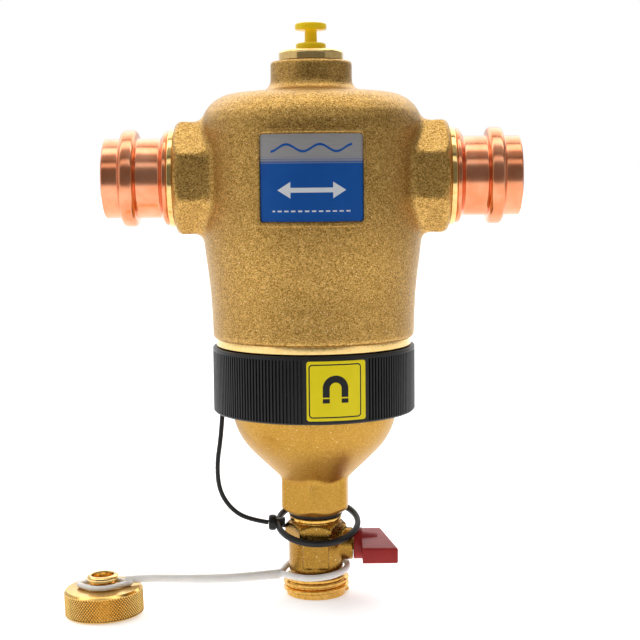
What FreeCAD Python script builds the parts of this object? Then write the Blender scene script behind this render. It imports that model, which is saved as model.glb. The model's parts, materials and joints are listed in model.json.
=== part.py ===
# Magnetic system filter: a brass body with copper press ends, a drain valve below, a removable
# magnet collar round the joint and a magnet rod that pulls out of a dry pocket in the top.
#
# Millimetres.  The origin is the centre of the drain outlet's end face, which the filter stands on.
# +Z runs up the filter's axis, +X towards the outlet port and -Y towards the name label.
import FreeCAD, Part
import math
import os
from collections import namedtuple

V = FreeCAD.Vector
UP = V(0, 0, 1)
ALONG_X = V(1, 0, 0)
ALONG_Y = V(0, 1, 0)
CENTRE = V(0, 0, 0)

# ---- driving dimensions ---------------------------------------------------------------------------
BODY_R = 44.7                 # largest radius of the casting, level with the ports
BODY_WALL = 4.0
LIP_R, LIP_LOW, LIP_HIGH = 39.5, 103.9, 106.9   # machined lip below the cast side
SKIRT_R, SKIRT_LOW = 35.5, 91.6
BOWL_THREAD_R = 32.5
BOSS_R, BOSS_TOP = 16.25, 217.3

PORT_Z = 171.3                # height of the pipe axis
PORT_FLATS = 44.5             # across the flats of the octagonal port bosses
PORT_FACE_X = 54.5
PORT_THREAD_R = 17.0
FLOW_R = 12.7

TUBE_R = 28.6 / 2             # 1 inch nominal copper tube
SOCKET_R = TUBE_R + 0.15
SLEEVE_R = 15.95
SOCKET_STOP_X, MOUTH_X = 61.0, 83.05
BEAD_X, BEAD_R = 72.9, 19.4

COLLAR_R, COLLAR_BORE_R = 41.0, 35.9
COLLAR_LOW, COLLAR_HIGH = 77.3, 103.6
COLLAR_MAGNETS = 12
MAGNET_TURN = 12.4            # degrees that the yellow label sits to the right of the front

NECK_FLATS, NECK_LOW, NECK_HIGH = 26.7, 35.9, 52.0
NECK_CORNER_R = 14.8
NECK_TURN = -4.0

HEX_FLATS, HEX_LOW, HEX_HIGH = 22.0, 24.0, 30.4
VALVE_R = 11.2
VALVE_THREAD_R = 10.5
STEM_Z, STEM_R, STEM_BOSS_R, STEM_BOSS_X = 20.55, 3.45, 6.55, 15.3
BALL_R, BALL_BORE_R = 8.6, 6.2
HOSE_THREAD_R, HOSE_THREAD_TOP = 13.5, 7.6
OUTLET_R = 9.6

HANDLE_IN_X, HANDLE_THICK = 18.8, 6.4
HANDLE_FRONT, HANDLE_BACK = 20.6, 13.0      # reach from the stem's axis
HANDLE_FRONT_X, HANDLE_BACK_X = 33.2, 27.3

HEAD_R, HEAD_LOW, HEAD_TOP = 12.9, 217.5, 221.5
POCKET_R, POCKET_BORE_R, POCKET_LOW = 7.0, 5.9, 97.0
ROD_R, ROD_LOW = 5.7, 99.5
ROD_MAGNETS = 5

CAP_R, CAP_HEIGHT, CAP_TILT = 15.5, 10.5, 1.7
CAP_X, CAP_Y = -83.8, -26.5
CAP_BEVEL = 0.7
CAP_LIFT = (CAP_R - CAP_BEVEL) * math.sin(math.radians(CAP_TILT)) + 0.01   # its low edge just on the floor

STRAP_D = 3.8
STRAP_EYE_Z, STRAP_EYE_TILT, STRAP_EYE_DIP = 10.4, 5.0, 3.0
STRAP_ROUTE = [(-15.2, -4.6, 9.1), (-29.0, -11.4, 9.6), (-43.5, -16.2, 10.6), (-57.0, -20.6, 12.2),
               (-68.5, -24.4, 13.6), (-75.6, -25.9, 13.55)]

LOOP_Z, LOOP_TILT = 29.6, 18.5
TETHER_D = 1.9
TETHER_ROUTE = [(-37.6, 0.0, COLLAR_LOW - 0.12), (-38.4, -0.3, 66.0), (-40.3, -0.8, 54.5),
                (-39.6, -1.0, 43.6), (-34.9, -0.8, 35.7), (-28.0, -0.3, 31.1), (-19.5, 0.0, LOOP_Z)]

# ---- outline and turning helpers ------------------------------------------------------------------
Arc = namedtuple("Arc", "middle end")
Curve = namedtuple("Curve", "points")


def at(point):
    """A (radius, height) pair as a point of the XZ plane."""
    return V(point[0], 0, point[1])


def section(steps):
    """Closed face from a start corner and lines, arcs and smooth curves to the next corners."""
    here = steps[0]
    edges = []
    for step in steps[1:] + [steps[0]]:
        if isinstance(step, Arc):
            edges.append(Part.Arc(at(here), at(step.middle), at(step.end)).toShape())
            here = step.end
        elif isinstance(step, Curve):
            spline = Part.BSplineCurve()
            spline.interpolate([at(point) for point in [here] + step.points])
            edges.append(spline.toShape())
            here = step.points[-1]
        elif at(step).distanceToPoint(at(here)) > 1e-6:
            edges.append(Part.LineSegment(at(here), at(step)).toShape())
            here = step
    return Part.Face(Part.Wire(edges))


def turned(steps):
    """Solid turned about Z from an outline of (radius, height) corners."""
    return section(steps).revolve(CENTRE, UP, 360)


def ring(inner, outer, low, high):
    """Plain ring about Z."""
    return turned([(inner, low), (outer, low), (outer, high), (inner, high)])


def rod(radius, low, high):
    """Plain round bar about Z."""
    return Part.makeCylinder(radius, high - low, V(0, 0, low))


def block(low, high):
    """Box between two corners."""
    size = [b - a for a, b in zip(low, high)]
    return Part.makeBox(*size, V(*low))


def prism(sides, flats, low, high, turn=0.0):
    """Regular bar about Z; turn 0 puts a corner on +X."""
    corner = flats / 2 / math.cos(math.pi / sides)
    angles = [math.radians(turn) + 2 * math.pi * k / sides for k in range(sides + 1)]
    loop = Part.makePolygon([V(corner * math.cos(a), corner * math.sin(a), low) for a in angles])
    return Part.Face(loop).extrude(V(0, 0, high - low))


def to_side(shape, side, height):
    """Lays a shape made about Z along the X axis, towards side +1 or -1, at a height."""
    laid = shape.copy()
    laid.rotate(CENTRE, ALONG_Y, 90 * side)
    laid.translate(V(0, 0, height))
    return laid


def ridges(crest, depth, low, high, count, width=0.35):
    """Corners of a stack of thread ridges, from low to high, on the outside of a turned part."""
    pitch = (high - low) / count
    corners = []
    for k in range(count):
        middle = low + pitch * (k + 0.5)
        corners += [(crest - depth, middle - pitch * 0.5), (crest, middle - pitch * width / 2),
                    (crest, middle + pitch * width / 2)]
    return corners + [(crest - depth, high)]


def round_ring(middle_r, wire_r, height):
    """O-ring about Z."""
    return Part.makeTorus(middle_r, wire_r, V(0, 0, height), UP)


def wrapped_plate(radius, thick, width, low, high, corner, turn=0.0):
    """Thin plate with rounded corners bent round a cylinder, facing -Y before it is turned."""
    shell = ring(radius, radius + thick, low, high)
    window = block((-width / 2, -radius - 10, low), (width / 2, -radius / 2, high))
    upright = [e for e in window.Edges if abs(e.tangentAt(e.FirstParameter).y) > 0.9]
    plate = shell.common(window.makeFillet(corner, upright))
    plate.rotate(CENTRE, UP, turn)
    return plate


def copies_round(shape, count, start=0.0):
    """Separate equal solids spaced evenly round Z, as one compound."""
    solids = []
    for k in range(count):
        turned_copy = shape.copy()
        turned_copy.rotate(CENTRE, UP, start + 360.0 * k / count)
        solids.append(turned_copy)
    return Part.makeCompound(solids)


def cord_tube(name, points, diameter):
    """Round tube along straight runs joined by the largest tangent arcs; prints its radii and volume."""
    nodes = [V(*p) for p in points]
    runs = [(b - a).Length for a, b in zip(nodes, nodes[1:])]
    edges, radii, start = [], [], nodes[0]
    for k in range(1, len(nodes) - 1):
        back = (nodes[k - 1] - nodes[k]).normalize()
        ahead = (nodes[k + 1] - nodes[k]).normalize()
        half_turn = (math.pi - back.getAngle(ahead)) / 2
        setback = 0.45 * min(runs[k - 1], runs[k])
        radius = setback / math.tan(half_turn)
        radii.append(radius)
        first, last = nodes[k] + back * setback, nodes[k] + ahead * setback
        to_middle = (back + ahead).normalize()
        middle = nodes[k] + to_middle * (radius / math.cos(half_turn) - radius)
        edges += [Part.LineSegment(start, first).toShape(), Part.Arc(first, middle, last).toShape()]
        start = last
    edges.append(Part.LineSegment(start, nodes[-1]).toShape())
    path = Part.Wire(edges)
    heading = (nodes[1] - nodes[0]).normalize()
    end_circle = Part.Wire(Part.Circle(nodes[0], heading, diameter / 2).toShape())
    tube = path.makePipeShell([end_circle], True, False)
    expected = math.pi * diameter ** 2 / 4 * path.Length
    print(f"{name}: length {path.Length:.1f}, radii {[round(r, 1) for r in radii]},",
          f"volume {tube.Volume:.1f} of {expected:.1f}")
    return tube


# ---- brass body -----------------------------------------------------------------------------------
def port_boss(side):
    """Octagonal boss for one press end, with its machined outer chamfer."""
    bar = prism(8, PORT_FLATS, 20.0, PORT_FACE_X, 22.5)
    corner = PORT_FLATS / 2 / math.cos(math.pi / 8)
    bullet = turned([(0, 20.0), (corner + 0.1, 20.0), (corner + 0.1, PORT_FACE_X - 2.9),
                     (corner - 2.9, PORT_FACE_X), (0, PORT_FACE_X)])
    return to_side(bar.common(bullet), side, PORT_Z)


def upper_casting():
    """Cast brass upper body: barrel, dome, two port bosses, top boss and the label's raised frame."""
    barrel = turned([
        (0, LIP_HIGH), (LIP_R + 0.3, LIP_HIGH), (40.7, LIP_HIGH + 0.9),
        Curve([(41.4, 125.0), (43.3, 141.0), (BODY_R, 158.0)]),
        (BODY_R, 188.0),
        Arc((39.85, 199.7), (34.2, 203.4)),
        (20.2, 205.4),
        Arc((17.5, 206.5), (BOSS_R, 209.4)),
        (BOSS_R, BOSS_TOP - 1.8),
        Arc((BOSS_R - 0.5, BOSS_TOP - 0.5), (BOSS_R - 1.8, BOSS_TOP)),
        (0, BOSS_TOP)])
    machined = rod(LIP_R, LIP_LOW, LIP_HIGH).fuse(rod(SKIRT_R, SKIRT_LOW, LIP_LOW))
    cast = barrel.fuse(machined).fuse(port_boss(1)).fuse(port_boss(-1)).fuse(label_frame())
    wall_r = BODY_R - BODY_WALL
    cavity = turned([
        (0, SKIRT_LOW), (BOWL_THREAD_R, SKIRT_LOW), (BOWL_THREAD_R, 105.0), (36.6, 109.5),
        Curve([(37.4, 125.0), (39.3, 141.0), (wall_r, 158.0)]),
        (wall_r, 186.5),
        Arc((39.6, 193.0), (33.5, 199.2)),
        (11.1, 202.5), (0, 202.5)])
    pocket_thread = rod(11.05, 200.0, 215.8)
    pocket_recess = rod(13.2, 215.8, BOSS_TOP)
    cast = cast.cut(cavity).cut(pocket_thread).cut(pocket_recess)
    for side in (1, -1):
        cast = cast.cut(to_side(rod(FLOW_R, 30.0, PORT_FACE_X), side, PORT_Z))
        cast = cast.cut(to_side(rod(PORT_THREAD_R, 42.5, PORT_FACE_X), side, PORT_Z))
    return cast.removeSplitter()


def label_frame():
    """Low raised border cast round the name label."""
    border = wrapped_plate(BODY_R - 1.0, 1.35, 43.0, 152.8, 189.4, 2.5)
    seat = wrapped_plate(BODY_R - 2.0, 4.0, 39.8, 154.4, 187.8, 1.6)
    return border.cut(seat)


def name_label():
    """Foil name label on the front of the barrel."""
    return wrapped_plate(BODY_R, 0.2, 39.0, 154.8, 187.4, 1.4)


def lower_bowl():
    """Turned brass bowl that screws up into the body, with a hexagon round its outlet neck."""
    neck = prism(6, NECK_FLATS, NECK_LOW - 1.8, NECK_HIGH, 90.0 + NECK_TURN)
    corners = turned([(0, NECK_LOW - 1.8), (11.1, NECK_LOW - 1.8), (NECK_FLATS / 2 + 0.2, NECK_LOW),
                      (NECK_CORNER_R, NECK_LOW + 0.9), (NECK_CORNER_R, NECK_HIGH), (0, NECK_HIGH)])
    shell = turned([
        (0, 47.5), (12.2, 47.5), (18.4, 53.55), (23.15, 58.1),
        Arc((29.3, 65.0), (32.9, 73.0)),
        (34.3, 84.0), (35.3, 85.0), (35.3, 90.0), (BOWL_THREAD_R - 0.05, 90.0),
        (BOWL_THREAD_R - 0.05, 101.5), (0, 101.5)])
    hollow = turned([(0, 46.0), (9.0, 46.0), (15.5, 53.2), (20.4, 58.0),
                     Arc((26.4, 66.0), (29.5, 75.0)), (29.5, 101.5), (0, 101.5)])
    thread_hole = rod(VALVE_THREAD_R + 0.05, NECK_LOW - 1.8, 46.0)
    return shell.fuse(neck.common(corners)).cut(hollow).cut(thread_hole).removeSplitter()


def bowl_seal():
    """Flat seal between the bowl's flange and the body's skirt."""
    return ring(BOWL_THREAD_R + 0.1, 35.0, 90.0, SKIRT_LOW)


# ---- press ends -----------------------------------------------------------------------------------
def port_adapter(side):
    """Brass adapter screwed into a port boss, with the bright flange that carries the press sleeve."""
    thread = PORT_THREAD_R - 0.05
    return to_side(turned([
        (FLOW_R, 43.0), (thread, 43.0), (thread, PORT_FACE_X), (19.1, PORT_FACE_X),
        (19.65, PORT_FACE_X + 0.55), (19.65, 56.3), (19.1, 56.9), (FLOW_R, 56.9)]), side, PORT_Z)


def adapter_seal(side):
    """Flat seal at the bottom of the port boss's thread."""
    return to_side(ring(FLOW_R + 0.2, PORT_THREAD_R - 0.2, 42.5, 43.0), side, PORT_Z)


def press_sleeve(side):
    """Copper press socket: seating rim, cone, parallel tube, seal bead and mouth."""
    rim, wall = 56.9, SLEEVE_R - SOCKET_R
    return to_side(turned([
        (FLOW_R + 0.6, rim), (18.4, rim), Arc((19.0, rim + 0.9), (18.5, rim + 1.7)),
        (SLEEVE_R, 60.1), (SLEEVE_R, BEAD_X - 4.0),
        Arc((SLEEVE_R + 0.35, BEAD_X - 3.4), (SLEEVE_R + 0.9, BEAD_X - 2.9)),
        Arc((BEAD_R, BEAD_X), (SLEEVE_R + 0.9, BEAD_X + 2.9)),
        Arc((SLEEVE_R + 0.35, BEAD_X + 3.4), (SLEEVE_R, BEAD_X + 4.0)),
        (SLEEVE_R, MOUTH_X - 1.4), Arc((SLEEVE_R - 0.25, MOUTH_X - 0.45), (SLEEVE_R - 0.8, MOUTH_X)),
        (SOCKET_R, MOUTH_X), (SOCKET_R, BEAD_X + 2.6),
        Arc((BEAD_R - wall, BEAD_X), (SOCKET_R, BEAD_X - 2.6)),
        (SOCKET_R, SOCKET_STOP_X), (FLOW_R + 0.6, SOCKET_STOP_X)]), side, PORT_Z)


def press_seal(side):
    """Seal ring in the bead of a press sleeve."""
    return to_side(round_ring(SOCKET_R + 1.6, 1.4, BEAD_X), side, PORT_Z)


# ---- magnet pocket, magnet rod and filter element -------------------------------------------------
def magnet_pocket():
    """Brass dry pocket: polished head, thread and a closed tube down the filter's axis."""
    return turned([
        (0, POCKET_LOW), (POCKET_R - 1.5, POCKET_LOW), Arc((POCKET_R - 0.45, POCKET_LOW + 0.45),
                                                          (POCKET_R, POCKET_LOW + 1.5)),
        (POCKET_R, 201.0), (11.0, 201.0), (11.0, HEAD_LOW), (HEAD_R, HEAD_LOW), (HEAD_R, HEAD_TOP - 1.7),
        Arc((HEAD_R - 0.5, HEAD_TOP - 0.5), (HEAD_R - 1.7, HEAD_TOP)),
        (POCKET_BORE_R, HEAD_TOP), (POCKET_BORE_R, POCKET_LOW + 1.6), (0, POCKET_LOW + 1.6)])


def pocket_seal():
    """Seal ring under the pocket's head."""
    return ring(11.1, 12.9, 215.8, HEAD_LOW)


def pull_knob():
    """Yellow knob of the magnet rod: finger disc, stem, cover disc and the plug in the rod's tube."""
    return turned([
        (0, 213.0), (4.95, 213.0), (4.95, 219.5), (5.4, 221.7), (5.5, 221.7),
        Arc((5.93, 222.2), (5.93, 223.0)), Arc((5.7, 224.0), (4.6, 224.4)),
        (2.9, 224.6), (2.43, 225.2), (2.43, 228.9), (3.0, 229.6), (5.6, 229.6),
        Arc((6.3, 230.3), (6.1, 231.2)), Arc((5.7, 231.9), (4.6, 232.2)), (0, 232.2)])


def rod_tube():
    """Thin steel tube that holds the magnet stack."""
    return ring(5.0, ROD_R, ROD_LOW, 219.0)


def stack(pieces):
    """Equal discs from a list of (low, high) spans inside the rod's tube."""
    return Part.makeCompound([rod(4.9, low, high) for low, high in pieces])


def rod_spans():
    """Spans of the rod's magnets and of the pole pieces between them."""
    low, pole = 102.5, 2.5
    high = 211.5
    length = (high - low - pole * (ROD_MAGNETS + 1)) / ROD_MAGNETS
    poles = [(low + k * (length + pole), low + k * (length + pole) + pole) for k in range(ROD_MAGNETS + 1)]
    magnets = [(a[1], b[0]) for a, b in zip(poles, poles[1:])]
    return magnets, poles


def rod_magnets():
    """Magnets of the rod, with like poles facing."""
    return stack(rod_spans()[0])


def rod_pole_pieces():
    """Steel discs between the magnets."""
    return stack(rod_spans()[1])


def rod_end_plug():
    """Rounded plug that closes the rod's tube."""
    return turned([(0, ROD_LOW - 0.6), (3.6, ROD_LOW - 0.6), (5.4, ROD_LOW - 0.05), (5.4, ROD_LOW),
                   (4.9, ROD_LOW), (4.9, 102.5), (0, 102.5)])


def element_core():
    """Slotted tube of the filter element, round the dry pocket."""
    tube = ring(POCKET_R + 0.6, POCKET_R + 2.2, 101.5, 152.0)
    slot = block((0, -1.5, 108.0), (12.0, 1.5, 146.0))
    return tube.cut(copies_round(slot, 6))


def element_rings():
    """Top and base rings of the filter element."""
    base = ring(POCKET_R + 2.25, 32.2, 101.5, 103.5)
    top = ring(POCKET_R + 2.25, 33.0, 150.0, 152.0)
    window = Part.makeCylinder(2.6, 60.0, V(22.0, 0, 98.0))
    return base.cut(copies_round(window, 12, 15.0)), top.cut(copies_round(window, 12, 15.0))


def mesh_panels():
    """Radial mesh panels of the filter element, as separate flat solids."""
    return copies_round(block((POCKET_R + 2.4, -0.4, 103.5), (32.0, 0.4, 150.0)), 12)


# ---- magnet collar --------------------------------------------------------------------------------
def collar_shell():
    """Black moulded collar with a closed groove for its magnets."""
    body = turned([
        (COLLAR_BORE_R, COLLAR_LOW), (COLLAR_R - 0.8, COLLAR_LOW), (COLLAR_R, COLLAR_LOW + 0.8),
        (COLLAR_R, COLLAR_HIGH - 0.5), (COLLAR_R - 0.5, COLLAR_HIGH), (COLLAR_BORE_R, COLLAR_HIGH)])
    return body.cut(ring(37.0, 39.8, COLLAR_LOW, 101.6))


def collar_magnets():
    """Block magnets spaced round the collar."""
    return copies_round(block((37.45, -4.5, 80.4), (39.45, 4.5, 100.4)), COLLAR_MAGNETS, 15.0)


def collar_base_ring():
    """Ring that closes the magnets' groove from below."""
    return ring(37.05, 39.75, COLLAR_LOW, COLLAR_LOW + 2.4)


def magnet_label():
    """Square yellow label on the collar."""
    return wrapped_plate(COLLAR_R, 0.3, 23.0, 78.9, 101.8, 1.0, MAGNET_TURN)


def collar_tether():
    """Flexible lanyard from the collar's underside to the stop of its loop."""
    return cord_tube("collar_tether", TETHER_ROUTE, TETHER_D)


def tether_loop():
    """Drop-shaped band round the valve's neck with the lanyard's round stop."""
    middle_x, middle_r, half_wide, half_tall = 1.0, 16.4, 1.2, 1.45
    apex_x = -14.6
    lean = math.acos(middle_r / (middle_x - apex_x + 2.0))
    touch = math.pi - lean
    outlines = []
    for offset in (half_wide, -half_wide):
        r = middle_r + offset
        corner = V(middle_x - r / math.cos(lean), 0, 0)
        front = V(middle_x + r * math.cos(touch), -r * math.sin(touch), 0)
        back = V(front.x, -front.y, 0)
        edges = [Part.LineSegment(corner, front).toShape(),
                 Part.Arc(front, V(middle_x + r, 0, 0), back).toShape(),
                 Part.LineSegment(back, corner).toShape()]
        outlines.append(Part.Face(Part.Wire(edges)))
    band = outlines[0].cut(outlines[1]).extrude(V(0, 0, 2 * half_tall))
    band.translate(V(0, 0, -half_tall))
    band = band.cut(block((-30, -5, -5), (-15.6, 5, 5)))
    neck = to_side(turned([(0, 13.8), (1.6, 13.8), (1.2, 16.4), (0, 16.4)]), -1, 0)
    stop = to_side(turned([(0, 16.1), (2.6, 16.1), Arc((3.1, 16.3), (3.25, 16.8)), (3.25, 18.65),
                           Arc((3.1, 19.15), (2.6, 19.35)), (0, 19.35)]), -1, 0)
    loop = band.fuse(neck).fuse(stop).removeSplitter()
    loop.rotate(CENTRE, ALONG_X, LOOP_TILT)
    loop.translate(V(0, 0, LOOP_Z))
    return loop


# ---- drain valve ----------------------------------------------------------------------------------
def valve_body():
    """Brass drain valve body: bowl thread, hexagon, barrel with a flat, stem boss and hose thread."""
    barrel = turned([
        (0, 0), (12.3, 0)] + ridges(HOSE_THREAD_R, 1.2, 0.0, HOSE_THREAD_TOP, 3, 0.45) + [
        (10.7, HOSE_THREAD_TOP + 0.4), (10.7, 9.6), (VALVE_R - 0.1, 10.2), (VALVE_R, 10.8),
        (VALVE_R, HEX_LOW + 0.2), (9.6, HEX_HIGH - 0.2), (9.6, HEX_HIGH + 0.4)] +
        ridges(VALVE_THREAD_R, 0.9, HEX_HIGH + 0.4, 43.8, 8, 0.4) + [(0, 43.8)])
    hexagon = prism(6, HEX_FLATS, HEX_LOW, HEX_HIGH).common(turned([
        (0, HEX_LOW), (11.4, HEX_LOW), (12.7, HEX_LOW + 1.0), (12.7, HEX_HIGH - 1.3),
        (10.6, HEX_HIGH), (0, HEX_HIGH)]))
    panel = block((-5.2, -VALVE_R + 0.1, 13.2), (5.2, 0, HEX_LOW + 0.5))
    boss = to_side(turned([(0, 0), (STEM_BOSS_R + 0.6, 0), (STEM_BOSS_R, 12.2),
                           (STEM_BOSS_R, STEM_BOSS_X - 0.5), (STEM_BOSS_R - 0.5, STEM_BOSS_X),
                           (0, STEM_BOSS_X)]), 1, STEM_Z)
    solid = barrel.fuse(hexagon).fuse(panel).fuse(boss)
    bore = turned([(0, 0), (OUTLET_R + 0.5, 0), (OUTLET_R, 0.6), (OUTLET_R, 12.6), (9.2, 12.6),
                   (9.2, 28.3), (6.4, 28.3), (6.4, 43.8), (0, 43.8)])
    stem_hole = to_side(rod(STEM_R + 0.05, 5.0, STEM_BOSS_X), 1, STEM_Z)
    return solid.cut(bore).cut(stem_hole).removeSplitter()


def valve_retainer():
    """Threaded ring that holds the lower seat, screwed in from the outlet."""
    body = ring(6.4, OUTLET_R - 0.05, 9.8, 12.6)
    return body.cut(block((-12, -0.9, 9.8), (12, 0.9, 10.8)))


def valve_seat(upper):
    """Plastic seat ring with the ball's curve cut into it."""
    low, high = (25.3, 28.25) if upper else (12.65, 15.8)
    return ring(6.4, 9.1, low, high).cut(Part.makeSphere(BALL_R + 0.05, V(0, 0, STEM_Z)))


def neck_gasket():
    """Sealing washer round the valve's thread, against the bowl's neck."""
    return ring(VALVE_THREAD_R + 0.1, 10.9, 33.3, NECK_LOW - 1.8)


def valve_ball():
    """Ball with its bore across the flow, as it is when the valve is shut."""
    ball = Part.makeSphere(BALL_R, V(0, 0, STEM_Z))
    bore = Part.makeCylinder(BALL_BORE_R, 2 * BALL_R, V(0, -BALL_R, STEM_Z), ALONG_Y)
    slot = block((6.6, -9, STEM_Z - 1.5), (9, 9, STEM_Z + 1.5))
    return ball.cut(bore).cut(slot)


def valve_stem():
    """Stem with a tang for the ball, two seal grooves and a square for the handle."""
    groove = 2.55
    bar = turned([(0, 8.8), (STEM_R, 8.8), (STEM_R, 10.6), (groove, 10.6), (groove, 11.7), (STEM_R, 11.7),
                  (STEM_R, 12.9), (groove, 12.9), (groove, 14.0), (STEM_R, 14.0), (STEM_R, 15.3), (0, 15.3)])
    tang = block((-1.45, -2.6, 6.8), (1.45, 2.6, 8.8))
    square = block((-2.2, -2.2, 15.3), (2.2, 2.2, 21.0))
    tapped = rod(1.25, 14.5, 21.0)
    return to_side(bar.fuse(tang).fuse(square).cut(tapped), 1, STEM_Z)


def stem_seals():
    """Two seal rings in the stem's grooves."""
    return Part.makeCompound([to_side(round_ring(3.02, 0.44, x), 1, STEM_Z) for x in (11.15, 13.45)])


def valve_handle():
    """Red flag handle: round hub, wing that widens towards the front and a round boss over the screw."""
    low = STEM_Z - HANDLE_THICK / 2
    corners = [(HANDLE_IN_X, HANDLE_BACK), (HANDLE_IN_X, -HANDLE_FRONT), (HANDLE_FRONT_X, -HANDLE_FRONT),
               (HANDLE_BACK_X, HANDLE_BACK), (HANDLE_IN_X, HANDLE_BACK)]
    plan = Part.Face(Part.makePolygon([V(x, y, low) for x, y in corners]))
    wing = plan.extrude(V(0, 0, HANDLE_THICK))
    wing = wing.makeFillet(0.9, [e for e in wing.Edges if abs(e.BoundBox.Center.x - HANDLE_IN_X) > 1.0])
    hub = to_side(turned([(0, 15.6), (6.0, 15.6), (6.4, 16.0), (6.4, HANDLE_IN_X + 0.2),
                          (5.0, HANDLE_IN_X + 0.2), (4.1, 25.4), (0, 25.9)]), 1, STEM_Z)
    square = to_side(block((-2.25, -2.25, 15.0), (2.25, 2.25, 21.1)), 1, STEM_Z)
    screw_way = to_side(rod(1.6, 21.0, 24.0).fuse(rod(2.35, 23.8, 36.0)), 1, STEM_Z)
    return wing.fuse(hub).cut(square).cut(screw_way).removeSplitter()


def handle_screw():
    """Pan-head screw with a cross recess that holds the handle to the stem."""
    body = rod(1.2, 14.8, 23.8).fuse(turned([
        (0, 23.8), (2.2, 23.8), (2.2, 24.7), Arc((1.8, 25.3), (0.9, 25.6)), (0, 25.6)]))
    for size in ((1.5, 0.3), (0.3, 1.5)):
        body = body.cut(block((-size[0], -size[1], 24.6), (size[0], size[1], 26.0)))
    return to_side(body, 1, STEM_Z)


# ---- drain cap and its strap ----------------------------------------------------------------------
def on_cap(shape):
    """Places a shape made upright about Z where the cap lies, one edge propped up by its strap."""
    laid = shape.copy()
    laid.rotate(CENTRE, ALONG_Y, -CAP_TILT)
    laid.translate(V(CAP_X, CAP_Y, CAP_LIFT))
    return laid


def drain_cap():
    """Brass screw cap with its thread inside and a bulged hollow post that carries the strap."""
    inside = HOSE_THREAD_R + 0.15
    return on_cap(turned([
        (inside, 0), (CAP_R - CAP_BEVEL, 0), (CAP_R, CAP_BEVEL), (CAP_R, CAP_HEIGHT - 1.0),
        (CAP_R - 0.3, CAP_HEIGHT - 0.3), (CAP_R - 1.0, CAP_HEIGHT), (5.1, CAP_HEIGHT),
        (5.1, CAP_HEIGHT + 2.4), Arc((6.25, CAP_HEIGHT + 3.7), (5.3, CAP_HEIGHT + 5.1)),
        (4.3, CAP_HEIGHT + 5.1), (4.3, CAP_HEIGHT + 0.6), (0, CAP_HEIGHT + 0.6), (0, CAP_HEIGHT - 1.8),
        (inside, CAP_HEIGHT - 1.8)]))


def cap_gasket():
    """Flat rubber washer inside the cap."""
    return on_cap(ring(7.0, HOSE_THREAD_R, CAP_HEIGHT - 4.2, CAP_HEIGHT - 1.8))


def strap_valve_eye():
    """Strap's eye round the valve, above the hose thread, with the web that joins the strap."""
    eye = ring(11.9, 14.5, -1.1, 1.1)
    web = Part.Face(Part.makePolygon([V(-10.6, 7.4, -1.1), V(-15.4, 1.3, -1.1), V(-15.4, -1.3, -1.1),
                                      V(-10.6, -7.4, -1.1), V(-10.6, 7.4, -1.1)])).extrude(V(0, 0, 2.2))
    eye = eye.fuse(web.cut(rod(12.4, -2, 2))).removeSplitter()
    eye.rotate(CENTRE, ALONG_Y, -STRAP_EYE_TILT)
    eye.rotate(CENTRE, ALONG_X, STRAP_EYE_DIP)
    eye.rotate(CENTRE, UP, math.degrees(math.atan2(4.6, 15.2)))
    eye.translate(V(0, 0, STRAP_EYE_Z))
    return eye


def strap_cap_eye():
    """Strap's eye round the cap's post, with its tail tab."""
    low, high = CAP_HEIGHT + 0.3, CAP_HEIGHT + 2.2
    eye = ring(5.4, 7.9, low, high).fuse(block((-10.2, -1.1, low), (-6.6, 1.1, high)))
    return on_cap(eye.removeSplitter())


def cap_strap():
    """Strap between the two eyes."""
    return cord_tube("cap_strap", STRAP_ROUTE, STRAP_D)


# ---- all sub-parts --------------------------------------------------------------------------------
def sub_parts():
    """Every sub-part by node name."""
    base_ring, top_ring = element_rings()
    parts = {
        "upper_casting": upper_casting(), "name_label": name_label(), "lower_bowl": lower_bowl(),
        "bowl_seal": bowl_seal(), "magnet_pocket": magnet_pocket(), "pocket_seal": pocket_seal(),
        "element_core": element_core(), "element_base_ring": base_ring, "element_top_ring": top_ring,
        "mesh_panels": mesh_panels(), "pull_knob": pull_knob(), "rod_tube": rod_tube(),
        "rod_magnets": rod_magnets(), "rod_pole_pieces": rod_pole_pieces(), "rod_end_plug": rod_end_plug(),
        "collar_shell": collar_shell(), "collar_magnets": collar_magnets(),
        "collar_base_ring": collar_base_ring(), "magnet_label": magnet_label(),
        "collar_tether": collar_tether(), "tether_loop": tether_loop(), "valve_body": valve_body(),
        "valve_retainer": valve_retainer(), "upper_valve_seat": valve_seat(True),
        "lower_valve_seat": valve_seat(False), "neck_gasket": neck_gasket(), "valve_ball": valve_ball(),
        "valve_stem": valve_stem(), "stem_seals": stem_seals(), "valve_handle": valve_handle(),
        "handle_screw": handle_screw(), "drain_cap": drain_cap(), "cap_gasket": cap_gasket(),
        "strap_valve_eye": strap_valve_eye(), "strap_cap_eye": strap_cap_eye(), "cap_strap": cap_strap(),
    }
    for name, side in (("outlet", 1), ("inlet", -1)):
        parts[f"{name}_adapter"] = port_adapter(side)
        parts[f"{name}_adapter_seal"] = adapter_seal(side)
        parts[f"{name}_press_sleeve"] = press_sleeve(side)
        parts[f"{name}_press_seal"] = press_seal(side)
    return parts


def main():
    """Builds every sub-part, checks it and writes its STEP file."""
    os.makedirs("parts", exist_ok=True)
    for name, shape in sub_parts().items():
        box = shape.BoundBox
        print(f"{name}: solids {len(shape.Solids)}, valid {shape.isValid()}, volume {shape.Volume:.0f},",
              f"x {box.XMin:.1f} {box.XMax:.1f}, y {box.YMin:.1f} {box.YMax:.1f},",
              f"z {box.ZMin:.2f} {box.ZMax:.2f}")
        shape.exportStep(f"parts/{name}.step")


main()
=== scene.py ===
import json
import logging
import math
from dataclasses import dataclass
from enum import Enum
from typing import Any, Callable, Optional, Sequence, Union

import bmesh
import bpy
from mathutils import Matrix, Vector


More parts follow.
